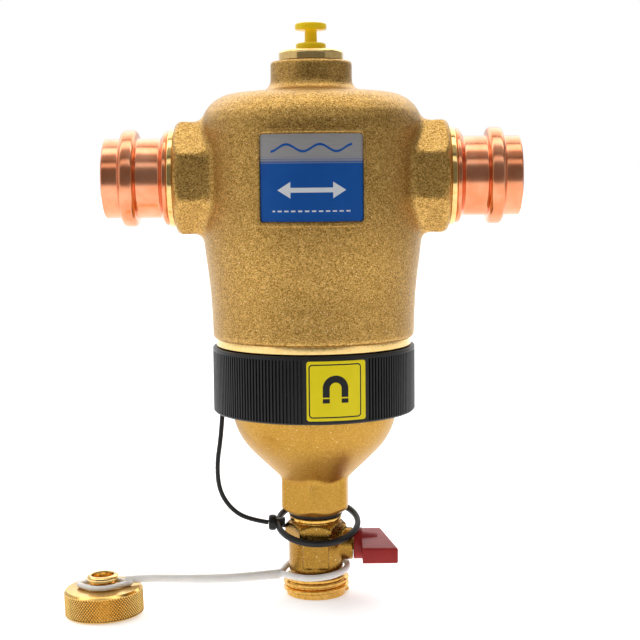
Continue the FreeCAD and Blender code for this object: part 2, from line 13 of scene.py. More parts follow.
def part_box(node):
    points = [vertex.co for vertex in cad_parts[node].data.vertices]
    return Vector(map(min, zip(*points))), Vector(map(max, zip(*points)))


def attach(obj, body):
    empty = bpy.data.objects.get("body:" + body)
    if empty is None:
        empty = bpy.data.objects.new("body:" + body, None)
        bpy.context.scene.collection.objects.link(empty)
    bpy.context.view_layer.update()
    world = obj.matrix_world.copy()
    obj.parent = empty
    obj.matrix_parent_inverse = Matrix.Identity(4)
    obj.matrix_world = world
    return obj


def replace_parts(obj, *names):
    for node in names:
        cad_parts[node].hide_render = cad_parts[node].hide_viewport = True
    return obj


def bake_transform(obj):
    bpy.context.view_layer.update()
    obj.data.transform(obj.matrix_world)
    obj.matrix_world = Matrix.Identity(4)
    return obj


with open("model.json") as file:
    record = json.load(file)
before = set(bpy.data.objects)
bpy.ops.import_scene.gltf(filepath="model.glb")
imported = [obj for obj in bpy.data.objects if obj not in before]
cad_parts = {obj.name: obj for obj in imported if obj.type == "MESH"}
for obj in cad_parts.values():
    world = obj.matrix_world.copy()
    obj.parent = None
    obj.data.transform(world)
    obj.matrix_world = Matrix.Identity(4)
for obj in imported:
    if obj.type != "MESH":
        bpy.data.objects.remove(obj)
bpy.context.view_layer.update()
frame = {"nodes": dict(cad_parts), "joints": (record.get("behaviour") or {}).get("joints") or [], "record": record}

"""Looks of a magnetic system filter: cast brass body, copper press ends, magnet collar, drain valve and cap.

Lengths are written in millimetres and multiplied by MM. Heights of a turned piece count from the low end
of its CAD node, so that every piece sits where the frame has it.
"""

MM = 0.001
Colour = tuple[float, float, float]
Outline = Sequence[tuple[float, ...]]
LOG = logging.getLogger("filter")
PAINTS: dict[str, bpy.types.Material] = {}


# ---- shader boards --------------------------------------------------------------------------------
class Sock:
    """One output socket of a node board, with arithmetic that adds Math nodes."""

    def __init__(self, board: "Board", out: bpy.types.NodeSocket) -> None:
        """Args: board: the board that holds the node. out: the node's output socket."""
        self.board = board
        self.out = out

    def _maths(self, operation: str, *values: "Number") -> "Sock":
        """Math node of that operation on the values, in their order."""
        return self.board.sock("ShaderNodeMath", {"operation": operation}, dict(enumerate(values)))

    def __add__(self, other: "Number") -> "Sock":
        """self + other."""
        return self._maths("ADD", self, other)

    def __radd__(self, other: float) -> "Sock":
        """other + self."""
        return self._maths("ADD", other, self)

    def __sub__(self, other: "Number") -> "Sock":
        """self - other."""
        return self._maths("SUBTRACT", self, other)

    def __rsub__(self, other: float) -> "Sock":
        """other - self."""
        return self._maths("SUBTRACT", other, self)

    def __mul__(self, other: "Number") -> "Sock":
        """self * other."""
        return self._maths("MULTIPLY", self, other)

    def __rmul__(self, other: float) -> "Sock":
        """other * self."""
        return self._maths("MULTIPLY", other, self)

    def __truediv__(self, other: "Number") -> "Sock":
        """self / other."""
        return self._maths("DIVIDE", self, other)

    def __rtruediv__(self, other: float) -> "Sock":
        """other / self."""
        return self._maths("DIVIDE", other, self)

    def __neg__(self) -> "Sock":
        """-self."""
        return self._maths("MULTIPLY", self, -1.0)

    def __lt__(self, other: "Number") -> "Sock":
        """1 where self is less than other."""
        return self._maths("LESS_THAN", self, other)

    def __gt__(self, other: "Number") -> "Sock":
        """1 where self is more than other."""
        return self._maths("GREATER_THAN", self, other)

    def __abs__(self) -> "Sock":
        """Size of self without its sign."""
        return self._maths("ABSOLUTE", self)

    def wave(self) -> "Sock":
        """Sine of self, in radians."""
        return self._maths("SINE", self)

    def part(self) -> "Sock":
        """Fraction of self above the whole number below it."""
        return self._maths("FRACT", self)

    def root(self) -> "Sock":
        """Square root of self."""
        return self._maths("SQRT", self)

    def rise(self, low: float, high: float) -> "Sock":
        """Smooth step from 0 at low to 1 at high; high may be the lower one."""
        settings = {"interpolation_type": "SMOOTHSTEP"}
        return self.board.sock("ShaderNodeMapRange", settings, {0: self, 1: low, 2: high})


Number = Union[float, Sock]


class Board:
    """A node tree that is filled by expressions."""

    def __init__(self, tree: bpy.types.NodeTree) -> None:
        """Args: tree: the node tree, which is emptied."""
        self.tree = tree
        tree.nodes.clear()

    def node(self, kind: str, settings: Optional[dict[str, Any]] = None,
             values: Optional[dict[Union[int, str], Any]] = None) -> bpy.types.Node:
        """Adds one node.

        Args:
            kind: the node's type.
            settings: its properties, set first; "stops" fills a colour ramp with (place, colour) pairs.
            values: a number, colour, vector or Sock for each named or numbered input.

        Returns:
            The new node.
        """
        made = self.tree.nodes.new(kind)
        for name, value in (settings or {}).items():
            if name == "stops":
                self._fill_ramp(made.color_ramp, value)
            else:
                setattr(made, name, value)
        for key, value in (values or {}).items():
            if isinstance(value, Sock):
                self.tree.links.new(value.out, made.inputs[key])
            elif made.inputs[key].type == "RGBA":
                made.inputs[key].default_value = (*value, 1.0)
            else:
                made.inputs[key].default_value = value
        return made

    def sock(self, kind: str, settings: Optional[dict[str, Any]] = None,
             values: Optional[dict[Union[int, str], Any]] = None, output: Union[int, str] = 0) -> Sock:
        """Adds one node and gives one of its outputs.

        Args:
            kind, settings, values: as for node.
            output: name or number of the output.

        Returns:
            That output.
        """
        return Sock(self, self.node(kind, settings, values).outputs[output])

    @staticmethod
    def _fill_ramp(ramp: bpy.types.ColorRamp, stops: Sequence[tuple[float, Colour]]) -> None:
        """Puts the stops on a colour ramp."""
        for _ in range(len(stops) - len(ramp.elements)):
            ramp.elements.new(0.5)
        for element, (place, colour) in zip(ramp.elements, stops):
            element.position = place
            element.color = (*colour, 1.0)

    def mix(self, mask: Number, below: Union[Colour, Sock], above: Union[Colour, Sock]) -> Sock:
        """Colour that goes from below to above as the mask goes from 0 to 1."""
        return self.sock("ShaderNodeMix", {"data_type": "RGBA"}, {0: mask, 6: below, 7: above}, 2)

    def axes(self, vector: Sock) -> tuple[Sock, Sock, Sock]:
        """X, Y and Z of a vector."""
        split = self.node("ShaderNodeSeparateXYZ", None, {0: vector})
        return tuple(Sock(self, out) for out in split.outputs)


class Paint(Board):
    """Board of one material, with its Principled shader ready."""

    def __init__(self, name: str) -> None:
        """Args: name: the material's name."""
        self.material = bpy.data.materials.new(name)
        self.material.use_nodes = True
        super().__init__(self.material.node_tree)
        self.shader = self.node("ShaderNodeBsdfPrincipled")
        output = self.node("ShaderNodeOutputMaterial")
        self.tree.links.new(self.shader.outputs[0], output.inputs[0])
        self.place = self.sock("ShaderNodeTexCoord", output="Object")

    def noise(self, size_mm: float, detail: float = 2.0, stretch: Optional[Colour] = None) -> Sock:
        """Soft noise around 0.5.

        Args:
            size_mm: size of its spots.
            detail: how much finer noise lies on it.
            stretch: scale along each axis, for grain that runs one way.

        Returns:
            The noise.
        """
        place = self.place
        if stretch:
            place = self.sock("ShaderNodeMapping", None, {"Vector": place, "Scale": stretch})
        values = {"Vector": place, "Scale": 1.0 / (size_mm * MM), "Detail": detail}
        return self.sock("ShaderNodeTexNoise", None, values)

    def grains(self, size_mm: float) -> Sock:
        """A random number from 0 to 1 for each grain of that size."""
        values = {"Vector": self.place, "Scale": 1.0 / (size_mm * MM)}
        tint = self.sock("ShaderNodeTexVoronoi", None, values, "Color")
        return self.sock("ShaderNodeSeparateColor", None, {0: tint})

    def pits(self, size_mm: float) -> Sock:
        """Distance to the nearest point of a scatter, in spacings."""
        values = {"Vector": self.place, "Scale": 1.0 / (size_mm * MM)}
        return self.sock("ShaderNodeTexVoronoi", None, values, "Distance")

    def set(self, **values: Any) -> None:
        """Sets inputs of the shader, by their names with _ for spaces."""
        for name, value in values.items():
            socket = self.shader.inputs[name.replace("_", " ")]
            if isinstance(value, Sock):
                self.tree.links.new(value.out, socket)
            elif socket.type == "RGBA":
                socket.default_value = (*value, 1.0)
            else:
                socket.default_value = value

    def dent(self, height: Sock, depth_mm: float) -> None:
        """Lifts the surface by a height from 0 to 1, over a depth in millimetres."""
        values = {"Height": height, "Distance": depth_mm * MM, "Strength": 1.0}
        self.set(Normal=self.sock("ShaderNodeBump", None, values))


# ---- finishes -------------------------------------------------------------------------------------
@dataclass(frozen=True)
class Brass:
    """Bare brass: blasted, tumbled, turned or polished."""

    slot: str
    light: Colour
    dark: Colour
    grain_mm: float
    sparkle: float
    roughness: tuple[float, float]
    depth_mm: float
    tint: Colour = (0.56, 0.33, 0.10)

    def paint(self) -> bpy.types.Material:
        """Makes the material."""
        board = Paint(self.slot)
        grain = board.grains(self.grain_mm)
        cloud = board.noise(self.grain_mm * 30.0, 3.0)
        spark = grain.rise(1.0 - self.sparkle, 1.0)
        tone = board.mix(grain, self.dark, self.light)
        tone = board.mix((cloud - 0.5).rise(0.0, 0.35) * 0.35, tone, self.tint)
        # pale flecks in the base colour are painted glints, standing in for the sparkle of the blasted grain
        tone = board.mix(spark * 0.5, tone, (0.98, 0.84, 0.52))
        low, high = self.roughness
        rough = low + (high - low) * (board.noise(self.grain_mm * 8.0) * 0.6 + grain * 0.4)
        board.set(Base_Color=tone, Metallic=1.0, Roughness=rough)
        height = board.noise(self.grain_mm * 1.3, 3.0) * 0.6 + board.pits(self.grain_mm) * 0.4
        board.dent(height, self.depth_mm)
        return board.material


@dataclass(frozen=True)
class Copper:
    """Drawn copper, polished, with faint rings left by the forming rolls."""

    slot: str

    def paint(self) -> bpy.types.Material:
        """Makes the material."""
        board = Paint(self.slot)
        rings = board.noise(1.2, 3.0, (1.0, 0.06, 0.06))
        cloud = board.noise(9.0, 4.0)
        tone = board.mix(cloud.rise(0.35, 0.7), (0.80, 0.28, 0.13), (0.88, 0.39, 0.22))
        board.set(Base_Color=tone, Metallic=1.0, Roughness=0.13 + 0.1 * cloud + 0.06 * rings)
        board.dent(rings * 0.5 + board.noise(3.0, 3.0) * 0.5, 0.03)
        return board.material


@dataclass(frozen=True)
class Moulded:
    """Moulded plastic or rubber."""

    slot: str
    colour: Colour
    shade: Colour
    roughness: float
    texture_mm: float = 0.35
    depth_mm: float = 0.02
    soft: float = 0.0

    def paint(self) -> bpy.types.Material:
        """Makes the material."""
        board = Paint(self.slot)
        cloud = board.noise(6.0, 4.0)
        tone = board.mix(cloud.rise(0.3, 0.75), self.colour, self.shade)
        rough = self.roughness + 0.14 * (board.noise(1.6, 3.0) - 0.5)
        board.set(Base_Color=tone, Roughness=rough, Specular_IOR_Level=0.35)
        if self.soft:
            board.set(Subsurface_Weight=self.soft, Subsurface_Radius=(1.0, 0.8, 0.6),
                      Subsurface_Scale=1.5 * MM)
        board.dent(board.noise(self.texture_mm, 2.0), self.depth_mm)
        return board.material


@dataclass(frozen=True)
class Steel:
    """Stainless, nickel-plated or chromed metal, with fine turning marks."""

    slot: str
    colour: Colour
    roughness: float

    def paint(self) -> bpy.types.Material:
        """Makes the material."""
        board = Paint(self.slot)
        marks = board.noise(0.5, 3.0, (0.2, 0.2, 1.0))
        tone = board.mix(board.noise(5.0, 3.0), self.colour, tuple(0.85 * c for c in self.colour))
        board.set(Base_Color=tone, Metallic=1.0, Roughness=self.roughness + 0.12 * marks)
        board.dent(marks, 0.01)
        return board.material


@dataclass(frozen=True)
class WovenMesh:
    """Woven steel wire cloth, with painted shade in the low cells of its weave."""

    slot: str
    pitch_mm: float

    def paint(self) -> bpy.types.Material:
        """Makes the material."""
        board = Paint(self.slot)
        x, y, z = board.axes(board.place)
        turn = 2.0 * math.pi / (self.pitch_mm * MM)
        across = ((x * x + y * y).root() * turn).wave()
        weave_and_shade = (across * (z * turn).wave()).rise(-0.6, 0.6)
        # dark steel where the weave dips is painted shade between the wires; the same weave also gives the
        # roughness and the bumps
        board.set(Base_Color=board.mix(weave_and_shade, (0.16, 0.16, 0.17), (0.62, 0.62, 0.60)), Metallic=1.0,
                  Roughness=0.5 - 0.2 * weave_and_shade)
        board.dent(weave_and_shade, 0.15)
        return board.material


@dataclass(frozen=True)
class FoilLabel:
    """Printed foil label wrapped round the barrel: plain flow symbols on blue and silver."""

    slot: str
    node: str

    def paint(self) -> bpy.types.Material:
        """Makes the material."""
        board = Paint(self.slot)
        low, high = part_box(self.node)
        x, y, z = board.axes(board.place)
        radius = -low.y / MM
        u = board.sock("ShaderNodeMath", {"operation": "ARCTAN2"}, {0: x, 1: -y}) * radius
        v = (z - low.z) / MM
        tall, half = (high.z - low.z) / MM, 19.5
        silver = board.mix(board.noise(0.6, 3.0, (0.1, 0.1, 1.0)), (0.30, 0.29, 0.29), (0.40, 0.39, 0.39))
        blue = board.mix(board.noise(7.0, 2.0), (0.0, 0.075, 0.36), (0.0, 0.10, 0.42))
        edge = tall * 0.66
        dot_u, dot_v = (u * 1.1).part() - 0.5, (v * 1.1).part() - 0.5
        dots = (dot_u * dot_u + dot_v * dot_v).root() < (edge + 3.4 - v) * 0.16
        printed = board.mix((v < edge) + (v > edge) * dots, silver, blue)
        wave = abs(v - tall * 0.84 - (u * 0.5).wave() * 1.3) < 0.45
        printed = board.mix(wave * (abs(u) < half - 4.0), printed, blue)
        height = abs(v - tall * 0.36)
        arrow = (height < 0.9) * (abs(u) < 8.0) + (abs(u) > 8.0) * (height < (13.0 - abs(u)) * 0.62)
        dashes = (abs(v - tall * 0.12) < 0.28) * ((u / 2.6).part() < 0.62) * (abs(u) < 15.0)
        printed = board.mix(arrow + dashes, printed, (0.80, 0.82, 0.84))
        board.set(Base_Color=printed, Metallic=0.35, Roughness=0.34 + 0.1 * board.noise(0.8, 2.0))
        board.dent(board.noise(0.9, 3.0), 0.02)
        return board.material


@dataclass(frozen=True)
class MagnetSign:
    """Yellow label with a plain frame and a horseshoe magnet."""

    slot: str
    node: str

    def paint(self) -> bpy.types.Material:
        """Makes the material."""
        board = Paint(self.slot)
        low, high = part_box(self.node)
        middle = (low + high) / 2
        x, y, z = board.axes(board.place)
        facing = math.atan2(middle.x, -low.y)
        radius = -low.y / MM
        u = (board.sock("ShaderNodeMath", {"operation": "ARCTAN2"}, {0: x, 1: -y}) - facing) * radius
        v = (z - middle.z) / MM
        half = (high.z - low.z) / 2 / MM
        far_u, far_v = abs(u) - (half - 2.6), abs(v) - (half - 2.6)
        out_u = far_u * (far_u > 0.0)
        out_v = far_v * (far_v > 0.0)
        inner = (far_u < 0.0) * (far_v < 0.0)
        reach = (out_u * out_u + out_v * out_v).root() + (
            far_u * (far_u > far_v) + far_v * (far_v > far_u)) * inner
        frame_line = (reach > 1.0) * (reach < 1.5)
        height = v - 1.0
        arch = (u * u + height * height).root()
        shoe = (height > 0.0) * (arch > 2.3) * (arch < 5.0)
        legs = (height < 0.0) * (height > -5.6) * (abs(u) > 2.3) * (abs(u) < 5.0)
        gap = (height < -3.4) * (height > -3.9)
        ink = frame_line + shoe + legs * (1.0 - gap)
        yellow = board.mix(board.noise(6.0, 3.0), (0.82, 0.66, 0.0), (0.90, 0.74, 0.01))
        board.set(Base_Color=board.mix(ink, yellow, (0.012, 0.012, 0.013)),
                  Roughness=0.3 + 0.12 * board.noise(1.5), Specular_IOR_Level=0.25)
        board.dent(board.noise(0.8, 2.0), 0.015)
        return board.material


FINISHES = (
    Brass("cast_brass", (0.80, 0.49, 0.145), (0.24, 0.122, 0.024), 0.36, 0.02, (0.31, 0.43), 0.13),
    Brass("fine_brass", (0.62, 0.35, 0.068), (0.43, 0.228, 0.036), 0.36, 0.01, (0.30, 0.42), 0.08),
    Brass("valve_brass", (0.46, 0.25, 0.046), (0.31, 0.163, 0.028), 0.42, 0.01, (0.20, 0.34), 0.06),
    Brass("turned_brass", (0.86, 0.52, 0.13), (0.66, 0.36, 0.07), 0.9, 0.0, (0.12, 0.24), 0.02),
    Brass("bright_brass", (0.92, 0.66, 0.28), (0.84, 0.56, 0.20), 1.2, 0.0, (0.08, 0.18), 0.01),
    Brass("cap_brass", (0.90, 0.60, 0.20), (0.78, 0.48, 0.13), 0.6, 0.0, (0.14, 0.28), 0.02),
    Copper("copper"),
    Moulded("black_plastic", (0.006, 0.006, 0.006), (0.010, 0.010, 0.010), 0.36),
    Moulded("tether_black", (0.007, 0.007, 0.008), (0.012, 0.012, 0.013), 0.42),
    Moulded("yellow_plastic", (1.0, 0.68, 0.0), (1.0, 0.74, 0.0), 0.40, soft=0.1),
    Moulded("red_plastic", (0.38, 0.016, 0.014), (0.32, 0.012, 0.011), 0.48),
    Moulded("ivory_plastic", (0.97, 0.95, 0.92), (0.94, 0.91, 0.87), 0.45, soft=0.2),
    Moulded("element_plastic", (0.16, 0.16, 0.17), (0.12, 0.12, 0.13), 0.5),
    Moulded("seat_plastic", (0.82, 0.82, 0.80), (0.74, 0.74, 0.72), 0.4),
    Moulded("black_rubber", (0.014, 0.014, 0.014), (0.022, 0.022, 0.022), 0.62),
    Steel("steel", (0.58, 0.58, 0.57), 0.28),
    WovenMesh("steel_mesh", 1.0),
    Steel("magnet_nickel", (0.66, 0.64, 0.60), 0.22),
    Steel("ball_chrome", (0.72, 0.73, 0.75), 0.08),
    FoilLabel("label_foil", "name_label"),
    MagnetSign("label_yellow", "magnet_label"),
)


# ---- shapes ---------------------------------------------------------------------------------------
class Side(Enum):
    """The two ports, by their direction along X."""

    OUTLET = 1
    INLET = -1


class Join(Enum):
    """Ways to combine two closed shapes."""

    ADD = "UNION"
    CUT = "DIFFERENCE"
    KEEP = "INTERSECT"


def rounded(corners: Outline, closed: bool) -> list[Vector]:
    """Draws the fillets of an outline.

    Args:
        corners: (radius, height) or (radius, height, fillet) of each corner; a fillet that is too large
            for its sides takes as much of them as it can.
        closed: whether the last corner joins the first.

    Returns:
        The outline's points.
    """
    line = []
    last = len(corners) - 1
    for k, corner in enumerate(corners):
        here = Vector(corner[:2])
        if len(corner) < 3 or (not closed and k in (0, last)):
            line.append(here)
            continue
        back = Vector(corners[k - 1][:2]) - here
        ahead = Vector(corners[k + 1 if k < last else 0][:2]) - here
        half = back.angle(ahead) / 2
        setback = min(corner[2] / math.tan(half), 0.48 * back.length, 0.48 * ahead.length)
        centre = here + (back.normalized() + ahead.normalized()).normalized() * (setback / math.cos(half))
        first = here + back.normalized() * setback - centre
        final = here + ahead.normalized() * setback - centre
        steps = max(2, round(first.angle(final) / math.radians(14.0)))
        line += [centre + first.slerp(final, step / steps).normalized() * first.length
                 for step in range(steps + 1)]
    return line


class Shape:
    """A closed mesh in millimetres that is shaped step by step and then handed over as a piece."""

    def __init__(self) -> None:
        """Starts empty."""
        self.sheet = bmesh.new()

    @classmethod
    def turned(cls, corners: Outline, steps: int = 96, closed: bool = False) -> "Shape":
        """Turns an outline about Z.

        Args:
            corners: as for rounded; an open outline starts and ends on the axis.
            steps: number of faces round the turn.
            closed: whether the outline is a loop clear of the axis.

        Returns:
            The turned shape.
        """
        shape = cls()
        points = [shape.sheet.verts.new((point.x, 0.0, point.y)) for point in rounded(corners, closed)]
        edges = [shape.sheet.edges.new(pair) for pair in zip(points, points[1:])]
        if closed:
            edges.append(shape.sheet.edges.new((points[-1], points[0])))
        bmesh.ops.spin(shape.sheet, geom=points + edges, cent=(0, 0, 0), axis=(0, 0, 1), dvec=(0, 0, 0),
                       angle=2 * math.pi, steps=steps, use_merge=True)
        return shape.tidied()

    @classmethod
    def prism(cls, sides: int, flats: float, low: float, high: float, turn: float = 0.0) -> "Shape":
        """Regular bar about Z; turn 0 puts a corner on +X."""
        shape = cls()
        bmesh.ops.create_circle(shape.sheet, cap_ends=True, segments=sides,
                                radius=flats / 2 / math.cos(math.pi / sides))
        shape.move(0, 0, low).rotate(turn - 90.0, "Z")
        return shape.extruded(0, 0, high - low)

    @classmethod
    def block(cls, low: Sequence[float], high: Sequence[float]) -> "Shape":
        """Box between two corners."""
        shape = cls()
        bmesh.ops.create_cube(shape.sheet, size=1.0)
        size = [b - a for a, b in zip(low, high)]
        bmesh.ops.scale(shape.sheet, vec=size, verts=shape.sheet.verts)
        return shape.move(*[(a + b) / 2 for a, b in zip(low, high)])

    @classmethod
    def thread(cls, core: float, crest: float, pitch: float, low: float, turns: float) -> "Shape":
        """Helical ridge round a core.

        Args:
            core, crest: radius at the ridge's foot and at its top.
            pitch: rise of one turn.
            low: height at which the ridge's middle starts.
            turns: number of turns.

        Returns:
            The ridge, with closed ends.
        """
        shape = cls()
        foot, top, buried = 0.46 * pitch, 0.2 * pitch, core - 0.4
        section = rounded([(buried, -foot), (core, -foot), (crest, -top, 0.3), (crest, top, 0.3),
                           (core, foot), (buried, foot)], True)
        points = [shape.sheet.verts.new((point.x, 0.0, low + point.y)) for point in section]
        edges = [shape.sheet.edges.new(pair) for pair in zip(points, points[1:] + points[:1])]
        steps = round(48 * turns)
        bmesh.ops.spin(shape.sheet, geom=points + edges, cent=(0, 0, 0), axis=(0, 0, 1),
                       dvec=(0, 0, pitch * turns / steps), angle=2 * math.pi * turns, steps=steps)
        bmesh.ops.holes_fill(shape.sheet, edges=[edge for edge in shape.sheet.edges if edge.is_boundary])
        return shape.tidied()

    @classmethod
    def swept(cls, points: Sequence[Sequence[float]], wide: float, tall: float, closed: bool = False,
              swell: Sequence[float] = ()) -> "Shape":
        """Bar of rounded section along a smooth line.

        Args:
            points: the line's control points.
            wide, tall: the section's width and its height along Z.
            closed: whether the line is a loop.
            swell: scale of the section at each point.

        Returns:
            The bar.
        """
        curve = smooth_line(points, closed, swell)
        curve.bevel_depth = min(wide, tall) / 2
        curve.extrude = (tall - wide) / 2 if tall > wide else 0.0
        curve.bevel_resolution = 3
        curve.use_fill_caps = True
        mesh = line_mesh(curve)
        shape = cls()
        shape.sheet.from_mesh(mesh)
        bpy.data.meshes.remove(mesh)
        return shape.tidied(1e-4)

    def tidied(self, reach: float = 1e-5) -> "Shape":
        """Merges doubles and turns all faces outwards."""
        bmesh.ops.remove_doubles(self.sheet, verts=self.sheet.verts, dist=reach)
        bmesh.ops.recalc_face_normals(self.sheet, faces=self.sheet.faces)
        return self

    def extruded(self, x: float, y: float, z: float) -> "Shape":
        """Gives flat faces a thickness."""
        made = bmesh.ops.extrude_face_region(self.sheet, geom=self.sheet.faces[:], use_keep_orig=True)
        moved = [item for item in made["geom"] if isinstance(item, bmesh.types.BMVert)]
        bmesh.ops.translate(self.sheet, vec=(x, y, z), verts=moved)
        return self.tidied()

    def move(self, x: float, y: float, z: float) -> "Shape":
        """Moves the shape."""
        bmesh.ops.translate(self.sheet, vec=(x, y, z), verts=self.sheet.verts)
        return self

    def rotate(self, degrees: float, axis: str) -> "Shape":
        """Turns the shape about an axis of the frame."""
        bmesh.ops.rotate(self.sheet, matrix=Matrix.Rotation(math.radians(degrees), 3, axis),
                         verts=self.sheet.verts)
        return self

    def to_side(self, side: Side, height: float) -> "Shape":
        """Lays a shape made about Z along X, towards one side, at a height."""
        return self.rotate(90.0 * side.value, "Y").move(0, 0, height)

    def bevel(self, edges: list[bmesh.types.BMEdge], size: float, segments: int = 3) -> "Shape":
        """Rounds edges."""
        bmesh.ops.bevel(self.sheet, geom=edges, offset=size, offset_type="OFFSET", segments=segments,
                        profile=0.5, affect="EDGES", material=-1, clamp_overlap=True)
        return self

    def edges_along(self, axis: int) -> list[bmesh.types.BMEdge]:
        """Edges that run along X, Y or Z, given as 0, 1 or 2."""
        return [edge for edge in self.sheet.edges
                if abs((edge.verts[1].co - edge.verts[0].co).normalized()[axis]) > 0.9]

    def wrap(self, radius: float, columns: int) -> "Shape":
        """Bends a flat plate that faces -Y round a cylinder about Z.

        Args:
            radius: radius that the plane Y = 0 takes.
            columns: number of flat columns it is cut into first.

        Returns:
            The same shape.
        """
        low = min(vert.co.x for vert in self.sheet.verts)
        high = max(vert.co.x for vert in self.sheet.verts)
        for column in range(1, columns):
            geometry = self.sheet.verts[:] + self.sheet.edges[:] + self.sheet.faces[:]
            place = low + (high - low) * column / columns
            bmesh.ops.bisect_plane(self.sheet, geom=geometry, plane_co=(place, 0, 0), plane_no=(1, 0, 0))
        for vert in self.sheet.verts:
            turn, reach = vert.co.x / radius, radius - vert.co.y
            vert.co.x, vert.co.y = reach * math.sin(turn), -reach * math.cos(turn)
        return self

    def soften(self, near: Callable[[Vector], bool], rounds: int) -> "Shape":
        """Smooths the stretch where near is true, as a cast fillet."""
        chosen = [vert for vert in self.sheet.verts if near(vert.co)]
        for _ in range(rounds):
            bmesh.ops.smooth_vert(self.sheet, verts=chosen, factor=0.5, use_axis_x=True, use_axis_y=True,
                                  use_axis_z=True)
        return self

    def joined(self, other: "Shape", how: Join) -> "Shape":
        """Combines this closed shape with another, which is used up."""
        holder, tool = self._holder(), other._holder()
        modifier = holder.modifiers.new("join", "BOOLEAN")
        modifier.operation = how.value
        modifier.object = tool
        modifier.solver = "EXACT"
        other.sheet.free()
        return self._take(holder, tool)

    def remeshed(self, voxel: float) -> "Shape":
        """Covers the shape with an even mesh, which fuses what it is made of."""
        holder = self._holder()
        modifier = holder.modifiers.new("even", "REMESH")
        modifier.mode = "VOXEL"
        modifier.voxel_size = voxel
        return self._take(holder)

    def _holder(self) -> bpy.types.Object:
        """Temporary object with this mesh, for a modifier."""
        mesh = bpy.data.meshes.new("working")
        self.sheet.to_mesh(mesh)
        holder = bpy.data.objects.new("working", mesh)
        bpy.context.scene.collection.objects.link(holder)
        return holder

    def _take(self, holder: bpy.types.Object, *others: bpy.types.Object) -> "Shape":
        """Takes the holder's finished mesh back and removes the temporary objects."""
        graph = bpy.context.evaluated_depsgraph_get()
        self.sheet.clear()
        self.sheet.from_object(holder, graph)
        for item in (holder, *others):
            mesh = item.data
            bpy.data.objects.remove(item)
            bpy.data.meshes.remove(mesh)
        return self.tidied()

    def piece(self, name: str, slot: str, crease: float = 32.0, finish: str = "") -> bpy.types.Object:
        """Makes the finished object in metres, with its material.

        Args:
            name: the piece's name.
            slot: the record's material slot.
            crease: angle in degrees past which an edge stays sharp.
            finish: name of the material where it isn't the slot's own.

        Returns:
            The object, which still has to ride on a body.
        """
        mesh = bpy.data.meshes.new(name)
        self.sheet.to_mesh(mesh)
        self.sheet.free()
        mesh.transform(Matrix.Scale(MM, 4))
        mesh.shade_smooth()
        mesh.set_sharp_from_angle(angle=math.radians(crease))
        mesh.materials.append(PAINTS[finish or slot])
        made = bpy.data.objects.new(name, mesh)
        bpy.context.scene.collection.objects.link(made)
        LOG.info("%s: %d faces", name, len(mesh.polygons))
        return made

    def ride(self, name: str, slot: str, body: str, *nodes: str, crease: float = 32.0,
             finish: str = "") -> bpy.types.Object:
        """Makes the finished object, which moves with a body and stands for CAD nodes."""
        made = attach(self.piece(name, slot, crease, finish), body)
        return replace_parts(made, *nodes) if nodes else made


def smooth_line(points: Sequence[Sequence[float]], closed: bool = False,
                swell: Sequence[float] = ()) -> bpy.types.Curve:
    """NURBS line with those control points, and a scale of its section at each if given."""
    curve = bpy.data.curves.new("line", "CURVE")
    curve.dimensions = "3D"
    curve.twist_mode = "Z_UP"
    spline = curve.splines.new("NURBS")
    spline.points.add(len(points) - 1)
    for point, place in zip(spline.points, points):
        point.co = (*place, 1.0)
    for point, scale in zip(spline.points, swell):
        point.radius = scale
    spline.order_u = 3
    spline.use_cyclic_u = closed
    spline.use_endpoint_u = not closed
    spline.resolution_u = 10
    return curve


def line_mesh(curve: bpy.types.Curve) -> bpy.types.Mesh:
    """Mesh of a curve as it is drawn; the curve is used up."""
    holder = bpy.data.objects.new("line", curve)
    mesh = bpy.data.meshes.new_from_object(holder)
    bpy.data.objects.remove(holder)
    bpy.data.curves.remove(curve)
    return mesh


